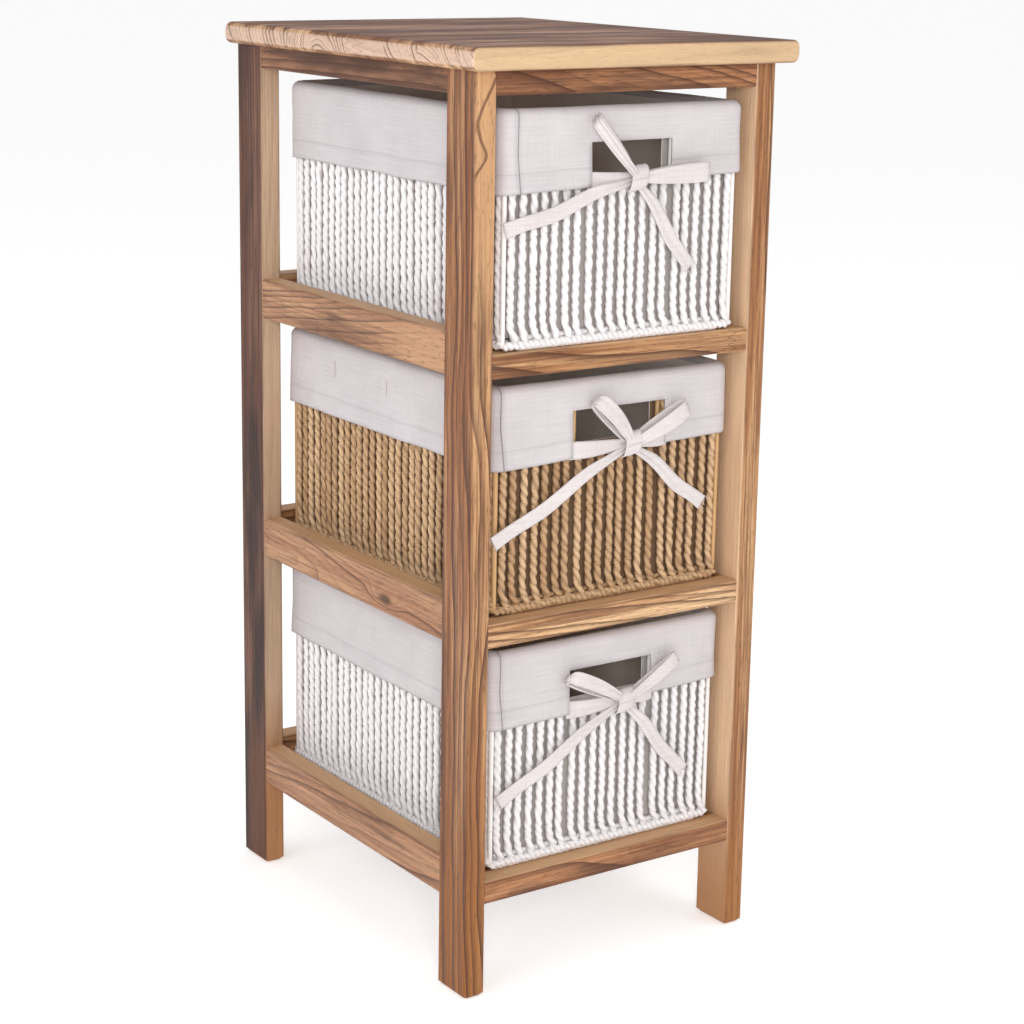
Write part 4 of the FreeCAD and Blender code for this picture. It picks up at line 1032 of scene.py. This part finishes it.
def soften(point, part, look, crease):
    """Move a point of the liner by its creases, the flare of its hem and its uneven rim."""
    outward = Vector((point.x / POST_X**2, point.y / POST_Y**2, 0)).normalized()
    if abs(abs(point.y) - CUFF_FACE_Y) < 0.012 and abs(point.x) < CUFF_FACE_X - 0.009:
        outward = Vector((0, math.copysign(1, point.y), 0))
    elif abs(point.y) < CUFF_FACE_Y - 0.013:
        outward = Vector((math.copysign(1, point.x), 0, 0))
    seed = look["seed"] * 13
    broad, small = [
        noise.noise(Vector((point.x * along, point.y * along, point.z * up + seed)))
        for along, up in (BROAD_CREASES, SMALL_CREASES)
    ]
    push = crease * (0.9 * broad + 0.45 * small)
    if part == "cuff":
        below = max(0.0, 0.131 - point.z) / 0.03
        push += 0.0006 * below
    if part == "rim":
        point = point + Vector((0, 0, 0.0005 * broad))
    if part == "bag":
        from_corner = max(BAG_X - abs(point.x), BAG_Y - abs(point.y))
        push = min(BAG_BULGE, crease * (broad + 0.4 * small) - BAG_SAG) * min(1.0, from_corner / BAG_TIGHT)
    if part in ("turn", "floor"):
        push = 0.0
    if part in ("cuff", "upper", "rim"):
        push = max(push, -0.0003)
    return point + outward * push


def build_liner(basket, settings, material, reverse):
    """Mesh of one liner with its distances from seam and hem and its flat coordinates."""
    look = LINER_LOOKS[basket]
    rows, points, stops_x = liner_mesh(basket, settings)
    place = basket_place(basket)
    count = len(points[0])
    vertices = []
    seams = []
    hems = []
    for row, ring in zip(rows, points):
        outside = row[0] in ("cuff", "upper", "rim")
        for point in ring:
            seam = FAR_OFF
            if outside and point.y < CUFF_CORNER - CUFF_FACE_Y:
                lean = 0.0022 * max(0.0, (0.125 - point.z) / 0.025)
                seam = point.x - look["seam"] - lean
            elif outside and point.x < CUFF_CORNER - CUFF_FACE_X:
                seam = -FAR_OFF
            seams.append(seam)
            hem = FAR_OFF
            if outside:
                hem = min(point.z - hem_height(look, point.x, point.y), HEM_FAR)
            hems.append(hem)
            vertices.append(point + place)
    faces = []
    left, right = look["notch"]
    for row in range(len(rows) - 1):
        for column in range(count):
            after = (column + 1) % count
            here, above = points[row], points[row + 1]
            middle = (here[column] + here[after] + above[after] + above[column]) / 4
            front = column < len(stops_x) - 1
            if front and rows[row + 1][0] == "cuff" and left < middle.x < right:
                continue
            in_hole = HAND_HOLE_Z[0] < middle.z < HAND_HOLE_Z[1] and HAND_HOLE[0] < middle.x < HAND_HOLE[1]
            if front and rows[row][0] == "bag" and rows[row + 1][0] == "bag" and in_hole:
                continue
            base, up = row * count, (row + 1) * count
            faces.append((base + column, base + after, up + after, up + column))
    centre = len(vertices)
    vertices.append(place + Vector((0, 0, BAG_FLOOR_Z)))
    seams.append(FAR_OFF)
    hems.append(FAR_OFF)
    last = (len(rows) - 1) * count
    faces += [(last + column, last + (column + 1) % count, centre) for column in range(count)]
    marks = {"seam": seams, "hem": hems}
    liner = sheet_object(f"{basket}_basket_liner_cloth", vertices, faces, marks, material, settings.thickness)
    # The side of the cloth that faces the ropes takes the reverse, a darker copy of the cloth: painted shade
    liner.data.materials.append(reverse)
    liner.modifiers["thickness"].material_offset = 1
    return liner


def sheet_object(name, vertices, faces, marks, material, thickness):
    """A cloth object with flat coordinates, marks and a thickness; points in no face are dropped."""
    used = sorted({index for face in faces for index in face})
    number = {old: new for new, old in enumerate(used)}
    mesh = bpy.data.meshes.new(name)
    corners = [tuple(vertices[index]) for index in used]
    mesh.from_pydata(corners, [], [[number[index] for index in face] for face in faces])
    flat = mesh.uv_layers.new(name="cloth")
    for polygon in mesh.polygons:
        normal = polygon.normal
        for loop in polygon.loop_indices:
            spot = mesh.vertices[mesh.loops[loop].vertex_index].co
            flat.data[loop].uv = (spot.x, spot.y) if abs(normal.z) > 0.7 else (spot.x + spot.y, spot.z)
    for title, values in marks.items():
        attribute = mesh.attributes.new(title, "FLOAT", "POINT")
        attribute.data.foreach_set("value", [values[index] for index in used])
    mesh.polygons.foreach_set("use_smooth", [True] * len(mesh.polygons))
    obj = link_object(name, mesh)
    paint(obj, material)
    solid = obj.modifiers.new("thickness", "SOLIDIFY")
    solid.thickness = thickness
    solid.offset = 0.0
    return obj


BOW_LOOKS = {
    "top": {
        "knot": (0.0045, 0.1065),
        "loops": (
            {"tip": (-0.0305, 0.1455), "depth": 0.010, "front": 0.0037, "back": 0.0030, "spread": 0.0042},
            {"tip": (0.0625, 0.1075), "depth": 0.005, "front": 0.0064, "back": 0.0050, "spread": 0.0008},
        ),
        "tails": ((-0.0945, 0.0775), (0.054, 0.0445)),
    },
    "middle": {
        "tacks": [(0.066, 0.138, 0.1255), (-0.004, 0.1355, 0.1255)],
        "knot": (0.0099, 0.1065),
        "loops": (
            {"tip": (-0.0206, 0.138), "depth": 0.007, "front": 0.0055, "back": 0.0016, "spread": -0.0025},
            {"tip": (0.0554, 0.1275), "depth": 0.006, "front": 0.0058, "back": 0.0042, "spread": -0.0012},
        ),
        "tails": ((-0.0965, 0.0505), (0.076, 0.0565)),
    },
    "bottom": {
        "knot": (0.0099, 0.1045),
        "loops": (
            {"tip": (-0.037, 0.128), "depth": 0.008, "front": 0.0046, "back": 0.0018, "spread": -0.0032},
            {"tip": (0.053, 0.129), "depth": 0.007, "front": 0.0048, "back": 0.0030, "spread": 0.001},
        ),
        "tails": ((-0.089, 0.0485), (0.0675, 0.041)),
    },
}
# The edges of a worn ribbon curl in, so it looks narrower than it is when flat
RIBBON_SHARE = 0.86
RIBBON_Y = -(HALF_Y + 0.001)
ROPE_FACE_Y = -(POST_Y + 0.0042)


def ribbon_strip(keys, full):
    """Points of a ribbon along keys of middle, width direction and half width; folded where gathered."""
    packed = [Vector((*middle, *(side.normalized() * width))) for middle, side, width in keys]
    line = smooth_line(packed, 0.0018)
    rows = []
    for index, item in enumerate(line):
        middle = Vector(item[0:3])
        side = Vector(item[3:6])
        ahead = Vector(line[min(index + 1, len(line) - 1)][0:3]) - Vector(line[max(index - 1, 0)][0:3])
        face = side.cross(ahead)
        face = face.normalized() if face.length > 1e-9 else Vector((0, -1, 0))
        curl = 0.0007 * noise.noise(Vector((middle.x * 45, middle.z * 45, 3.0)))
        fold = 0.0002 + 0.3 * max(0.0, full - side.length)
        row = []
        for number in range(9):
            step = number / 4 - 1
            cup = (1 - step * step) * (0.0003 + curl) + fold * math.cos(step * FULL_TURN + curl * 900)
            row.append(middle + side * step + face * cup)
        rows.append(row)
    return rows


def at_depth(spot, y):
    return Vector((spot[0], y, spot[1]))


def sideways(first, second):
    """Direction across a ribbon that runs from one point to another."""
    way = second - first
    return Vector((-way.z, 0, way.x)).normalized()


def band_keys(end, knot, half):
    """From the edge of the notch, where the ribbon leaves the hem, to the knot."""
    outer = at_depth(end, RIBBON_Y + 0.0018)
    side = Vector((0, 0, 1))
    return [
        (outer, side, half * 1.25),
        (outer.lerp(knot, 0.3) + Vector((0, -0.0006, -0.0004)), side, half * 1.15),
        (outer.lerp(knot, 0.7) + Vector((0, -0.0002, 0)), side, half * 0.85),
        (knot + Vector((0, 0.0012, 0)), side, half * 0.5),
    ]


def loop_keys(loop, knot, half):
    """Out along the back layer, round the tip and home along the front layer."""
    tip = at_depth(loop["tip"], RIBBON_Y - 0.0012)
    side = sideways(knot, tip)
    away = (tip - knot) * 0.04
    apart = side * loop["spread"]
    out = Vector((0, -1, 0)) * loop["depth"]
    wide, thin = loop["front"], loop["back"]
    back = knot + Vector((0, 0.001, 0))
    front = knot + Vector((0, -0.0016, 0))
    return [
        (back, side, half * 0.45),
        (back.lerp(tip, 0.3) - apart * 0.7, side, thin * 0.9),
        (back.lerp(tip, 0.72) - apart, side, thin),
        (tip + out * 0.12 - apart * 0.8 - away, side, thin),
        (tip + out * 0.5, side, (wide + thin) / 2),
        (tip + out * 0.92 + apart * 0.8 - away, side, wide),
        (front.lerp(tip, 0.62) + out + apart, side, wide),
        (front.lerp(tip, 0.25) + out * 0.6 + apart * 0.6, side, wide * 0.75),
        (front, side, half * 0.42),
    ]


def tail_keys(end, knot, half):
    """From under the knot down over the ropes to the cut end."""
    last = at_depth(end, ROPE_FACE_Y - 0.0012)
    side = sideways(knot, last)
    start = knot + Vector((0, 0.0004, -0.002))
    return [
        (start, side, half * 0.42),
        (start.lerp(last, 0.14) + Vector((0, -0.001, 0.0015)), side, half * 0.6),
        (start.lerp(last, 0.34) + Vector((0, -0.0012, 0.0026)), side, half * 0.88),
        (start.lerp(last, 0.62) + Vector((0, -0.0004, -0.0012)), side, half),
        (start.lerp(last, 0.86), side, half * 0.96),
        (last, side, half * 1.04),
    ]


def knot_keys(knot, half):
    """One turn of the ribbon round the middle of the bow."""
    keys = []
    for step in range(13):
        angle = FULL_TURN * step / 12
        spot = knot + Vector((0.001 * math.sin(angle), -0.0042 * math.cos(angle), 0.0078 * math.sin(angle)))
        keys.append((spot, Vector((1, 0, 0.14)), half * (1.2 + 0.14 * math.cos(angle))))
    return keys


def bow_strips(basket, width):
    """Ribbon of one basket as strips: band across the notch, two loops, two tails and the knot."""
    look = BOW_LOOKS[basket]
    half = width * RIBBON_SHARE / 2
    knot = Vector((look["knot"][0], RIBBON_Y - 0.003, look["knot"][1]))
    left, right = LINER_LOOKS[basket]["notch"]
    strips = [
        band_keys((left - 0.002, knot.z - 0.001), knot, half),
        band_keys((right + 0.002, knot.z + 0.001), knot, half),
        knot_keys(knot, half),
    ]
    strips += [loop_keys(loop, knot, half) for loop in look["loops"]]
    strips += [tail_keys(end, knot, half) for end in look["tails"]]
    return [ribbon_strip(keys, half) for keys in strips]


def build_bow(basket, settings, material):
    """Mesh of one bow, and the area of its ribbon."""
    place = basket_place(basket)
    vertices = []
    faces = []
    for rows in bow_strips(basket, settings.ribbon_width):
        start = len(vertices)
        across = len(rows[0])
        for row in rows:
            vertices += [point + place for point in row]
        for index in range(len(rows) - 1):
            for column in range(across - 1):
                here = start + index * across + column
                faces.append((here, here + 1, here + across + 1, here + across))
    marks = {"seam": [FAR_OFF] * len(vertices), "hem": [HEM_FAR] * len(vertices)}
    bow = sheet_object(f"{basket}_basket_bow", vertices, faces, marks, material, settings.ribbon_thickness)
    return bow, sum(face.area for face in bow.data.polygons)


def loose_threads(basket, width, draw):
    """Frayed threads at the cut ends of the tails, and the thread tacks on the left of a cuff."""
    look = BOW_LOOKS[basket]
    knot = at_depth(look["knot"], RIBBON_Y)
    lines = []
    for end in look["tails"]:
        last = at_depth(end, ROPE_FACE_Y - 0.0014)
        side = sideways(knot, last)
        way = (last - knot).normalized()
        for number in range(7):
            root = last + side * width * (number / 6 - 0.5) * RIBBON_SHARE - way * 0.0012
            reach = draw.uniform(0.0018, 0.0048)
            stray = side * draw.uniform(-0.0014, 0.0014)
            drop = Vector((0, -0.0005, -draw.uniform(0.0, 0.0012)))
            keys = [root, root + way * reach * 0.6 + stray * 0.3, root + way * reach + stray + drop]
            lines.append(smooth_line(keys, 0.0012))
    for y, high, low in look.get("tacks", ()):
        for strand in (-0.0003, 0.0003):
            stitch = [Vector((-HALF_X - 0.0006, y + strand, z)) for z in (high, (high + low) / 2, low)]
            lines.append(stitch)
    return lines


class STAND_OT_wood(bpy.types.Operator):
    """Give every wooden piece and the screws of the stand their material"""

    bl_idname = "basket_stand.wood"
    bl_label = "Torched wood"

    def execute(self, context):
        settings = context.scene.basket_stand_wood
        for name, look in wood_looks().items():
            grain = look.get("grain", 2)
            paint(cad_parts[name], wood_material(f"{name}_wood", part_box(name), grain, look, settings))
        material, root, shader = new_material("screw_zinc")
        dull = root.noise(root.spot(), 400.0, 3.0, 1.0)
        zinc = root.mix(dull, (0.42, 0.42, 0.44), (0.62, 0.62, 0.6))
        feed(root, shader, Base_Color=zinc, Metallic=1.0)
        feed(root, shader, Roughness=0.3 + dull * 0.3, Normal=bump(root, dull, 0.0002, 0.4))
        paint(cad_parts["tabletop_screws"], material)
        return {"FINISHED"}


class STAND_OT_ropes(bpy.types.Operator):
    """Wind the twisted paper ropes of the three baskets"""

    bl_idname = "basket_stand.ropes"
    bl_label = "Basket ropes"

    def execute(self, context):
        settings = context.scene.basket_stand_rope
        tree = rope_tree()
        # Rope colour, its darker tone, the colour of its flecks and of its painted shade in grooves and
        # crevices, and how strong the painted groove shade is
        white = rope_material(
            "white_paper_rope", settings.white, srgb(230, 225, 226), srgb(176, 168, 166), 0.35
        )
        natural = rope_material(
            "natural_paper_rope", settings.natural, srgb(164, 126, 90), srgb(76, 50, 30), 0.6
        )
        for number, basket in enumerate(BASKETS):
            draw = random.Random(number + 5)
            place = basket_place(basket)
            values = {
                "Rope Width": settings.width,
                "Lay": settings.lay,
                "Groove": settings.groove,
                "Wobble": settings.wobble,
                "Step": settings.step,
                "Sides": 12,
                "Seed": number + 1,
                "Centre": tuple(place),
                "Facing": (0.0, 0.0, 0.0),
                "Material": natural if basket == "middle" else white,
            }
            groups = {
                "rope_front": (wall_strands("front", draw), {"Facing": (0.0, 1.0, 0.0)}),
                "rope_back": (wall_strands("back", draw), {"Facing": (0.0, 1.0, 0.0)}),
                "rope_sides": (
                    wall_strands("left", draw) + wall_strands("right", draw),
                    {"Facing": (1.0, 0.0, 0.0)},
                ),
                "rope_floor": (floor_strands(draw), {"Step": 0.004, "Wobble": 0.0004, "Sides": 8}),
                "rim_rope": (
                    [wire_coil(wall, 0.0, RIM_Z, 0.004, 0.0052) for wall in WALLS],
                    {"Step": 0.003, "Rope Width": 0.0034, "Wobble": 0.0002, "Sides": 8},
                ),
                "bottom_rope": (
                    [wire_coil(wall, 0.0014, BOTTOM_Z - 0.0006, 0.0005, 0.0042) for wall in WALLS]
                    + [run for wall in WALLS for run in border_filling(wall)],
                    {"Rope Width": 0.0043, "Lay": 0.012, "Groove": 0.14, "Wobble": 0.0003, "Sides": 8},
                ),
            }
            for piece, (lines, changes) in groups.items():
                node = f"{basket}_basket_{piece}"
                rope = grow(f"{node}_twist", moved(lines, place), tree, {**values, **changes})
                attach(rope, f"basket_{basket}")
                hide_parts(node)
        return {"FINISHED"}


class STAND_OT_wires(bpy.types.Operator):
    """Bend the round wires of the three basket frames"""

    bl_idname = "basket_stand.wires"
    bl_label = "Basket wires"

    def execute(self, context):
        settings = context.scene.basket_stand_rope
        tree = rod_tree()
        white = wire_material("white_painted_wire", srgb(232, 228, 226))
        tan = wire_material("tan_painted_wire", srgb(196, 156, 108))
        for basket in BASKETS:
            place = basket_place(basket)
            lines = []
            for x in (-POST_X, POST_X):
                for y in (-POST_Y, POST_Y):
                    lines.append([Vector((x, y, z)) for z in (0.0022, 0.05, 0.1, RIM_Z)])
            for z in (BOTTOM_Z, RIM_Z):
                ring = closed_outline(POST_X, POST_Y, 0.004, [-0.07, 0.0, 0.07], [-0.1, 0.0, 0.1])
                loop = [Vector((x, y, z)) for x, y in ring]
                lines.append(loop + [loop[0]])
            bend = ((0.0, RIM_Z - HANDLE_Z), (0.0, 0.004), (0.0012, 0.0012), (0.004, 0.0))
            handle = [(HANDLE_LEFT + across, HANDLE_Z + up) for across, up in bend]
            handle += [(HANDLE_RIGHT - across, HANDLE_Z + up) for across, up in reversed(bend)]
            lines.append([Vector((x, -POST_Y, z)) for x, z in handle])
            natural = basket == "middle"
            values = {"Rod Width": settings.wire, "Sides": 10, "Material": tan if natural else white}
            wires = grow(f"{basket}_basket_wires", moved(lines, place), tree, values)
            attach(wires, f"basket_{basket}")
            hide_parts(f"{basket}_basket_wire_frame")
        return {"FINISHED"}


class STAND_OT_liners(bpy.types.Operator):
    """Sew the cloth liners of the three baskets"""

    bl_idname = "basket_stand.liners"
    bl_label = "Basket liners"

    def execute(self, context):
        settings = context.scene.basket_stand_cloth
        shaded = dimmed(settings.liner, 0.84)
        # The liner's cloth is paler inside the basket: painted light
        cloth = cloth_material("liner_linen", settings.liner, shaded, settings.inside, settings)
        # Darker copies of the cloth for the side that faces the ropes: painted shade, darkest behind the
        # natural ropes
        shaded_reverses = {}
        for title, colour in (("white", settings.reverse), ("natural", settings.natural_reverse_shade)):
            reverse_shade = dimmed(colour, 0.8)
            shaded_reverses[title] = cloth_material(f"liner_linen_shaded_reverse_{title}", colour, reverse_shade, reverse_shade, settings)
        for basket in BASKETS:
            reverse = shaded_reverses["natural" if basket == "middle" else "white"]
            liner = build_liner(basket, settings, cloth, reverse)
            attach(liner, f"basket_{basket}")
            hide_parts(f"{basket}_basket_liner")
        return {"FINISHED"}


class STAND_OT_bows(bpy.types.Operator):
    """Tie the ribbon bows of the three baskets and fray their ends"""

    bl_idname = "basket_stand.bows"
    bl_label = "Ribbon bows"

    def execute(self, context):
        settings = context.scene.basket_stand_cloth
        shaded = dimmed(settings.ribbon, 0.8)
        cloth = cloth_material("ribbon_linen", settings.ribbon, shaded, shaded, settings)
        rods = rod_tree()
        for number, basket in enumerate(BASKETS):
            bow, area = build_bow(basket, settings, cloth)
            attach(bow, f"basket_{basket}")
            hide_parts(f"{basket}_basket_ribbon_bow")
            lines = loose_threads(basket, settings.ribbon_width, random.Random(number + 70))
            values = {"Rod Width": settings.thread, "Sides": 5, "Material": cloth}
            threads = grow(f"{basket}_basket_threads", moved(lines, basket_place(basket)), rods, values)
            for title, value in (("seam", FAR_OFF), ("hem", HEM_FAR)):
                marks = threads.data.attributes.new(title, "FLOAT", "POINT")
                marks.data.foreach_set("value", [value] * len(marks.data))
            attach(threads, f"basket_{basket}")
        return {"FINISHED"}


class STAND_OT_stage(bpy.types.Operator):
    """Lay the pale floor and set the soft lights and the camera"""

    bl_idname = "basket_stand.stage"
    bl_label = "Studio stage"

    def execute(self, context):
        settings = context.scene.basket_stand_stage
        scene = context.scene
        scene.view_settings.view_transform = "Standard"
        corners = [(x * FLOOR_HALF, y * FLOOR_HALF, 0) for x, y in ((-1, -1), (1, -1), (1, 1), (-1, 1))]
        mesh = bpy.data.meshes.new("studio_floor")
        mesh.from_pydata(corners, [], [(0, 1, 2, 3)])
        floor = link_object("studio_floor", mesh)
        material, root, shader = new_material("studio_floor_paper")
        grain = root.noise(root.spot(), 30.0, 3.0, 1.0)
        paper = root.mix(grain, settings.floor, dimmed(settings.floor, 0.985))
        feed(root, shader, Base_Color=paper, Roughness=0.9)
        feed(root, shader, Emission_Color=(1.0, 1.0, 1.0, 1.0), Emission_Strength=0.36)
        paint(floor, material)
        world = bpy.data.worlds.new("studio_air")
        world.use_nodes = True
        sky = next(node for node in world.node_tree.nodes if node.type == "BACKGROUND")
        sky.inputs["Color"].default_value = (1.0, 1.0, 1.0, 1.0)
        sky.inputs["Strength"].default_value = 0.65
        scene.world = world
        # Name, place, power in watts, width and colour of each lamp
        lamps = (
            ("key_light", (1.3, -2.2, 1.9), 9.0, 1.6, (1.0, 0.985, 0.96)),
            ("side_light", (-2.4, -0.6, 1.3), 15.0, 1.8, (0.97, 0.98, 1.0)),
            ("top_light", (0.2, 0.3, 2.7), 9.0, 1.8, (1.0, 1.0, 1.0)),
            ("fill_light", (-0.95, -1.5, 0.8), 12.5, 0.45, (1.0, 0.99, 0.97)),
        )
        for name, spot, power, width, tint in lamps:
            lamp = bpy.data.lights.new(name, "AREA")
            lamp.energy = power
            lamp.size = width
            lamp.color = tint
            holder = bpy.data.objects.new(name, lamp)
            holder.location = spot
            holder.rotation_euler = (Vector((0, 0, 0.35)) - Vector(spot)).to_track_quat("-Z", "Y").to_euler()
            scene.collection.objects.link(holder)
        lens = bpy.data.cameras.new("photo_camera")
        lens.sensor_width = 36.0
        lens.lens = settings.lens
        lens.shift_y = settings.shift
        camera = bpy.data.objects.new("photo_camera", lens)
        across, tall = settings.azimuth, settings.elevation
        back = Vector((math.sin(across) * math.cos(tall), -math.cos(across) * math.cos(tall), math.sin(tall)))
        level = Vector((math.cos(across), math.sin(across), 0))
        upright = back.cross(level)
        right = level * math.cos(settings.roll) + upright * math.sin(settings.roll)
        up = upright * math.cos(settings.roll) - level * math.sin(settings.roll)
        axes = Matrix((right, up, back)).transposed().to_4x4()
        camera.matrix_world = Matrix.Translation(Vector(settings.target) + back * settings.distance) @ axes
        scene.collection.objects.link(camera)
        scene.camera = camera
        return {"FINISHED"}


OPERATORS = (STAND_OT_wood, STAND_OT_ropes, STAND_OT_wires, STAND_OT_liners, STAND_OT_bows, STAND_OT_stage)
SETTINGS = {
    "basket_stand_rope": RopeSettings,
    "basket_stand_cloth": ClothSettings,
    "basket_stand_wood": WoodSettings,
    "basket_stand_stage": StageSettings,
}


class STAND_PT_pieces(bpy.types.Panel):
    """Sidebar list of the stand's pieces"""

    bl_idname = "STAND_PT_pieces"
    bl_label = "Basket stand"
    bl_space_type = "VIEW_3D"
    bl_region_type = "UI"
    bl_category = "Basket stand"

    def draw(self, context):
        for operator in OPERATORS:
            self.layout.operator(operator.bl_idname)


def register():
    for kind in (*SETTINGS.values(), *OPERATORS, STAND_PT_pieces):
        bpy.utils.register_class(kind)
    for name, kind in SETTINGS.items():
        setattr(bpy.types.Scene, name, bpy.props.PointerProperty(type=kind))


def unregister():
    for name in SETTINGS:
        delattr(bpy.types.Scene, name)
    for kind in reversed((*SETTINGS.values(), *OPERATORS, STAND_PT_pieces)):
        bpy.utils.unregister_class(kind)


def main():
    register()
    bpy.ops.basket_stand.wood()
    bpy.ops.basket_stand.ropes()
    bpy.ops.basket_stand.wires()
    bpy.ops.basket_stand.liners()
    bpy.ops.basket_stand.bows()
    bpy.ops.basket_stand.stage()


if __name__ == "__main__":
    main()
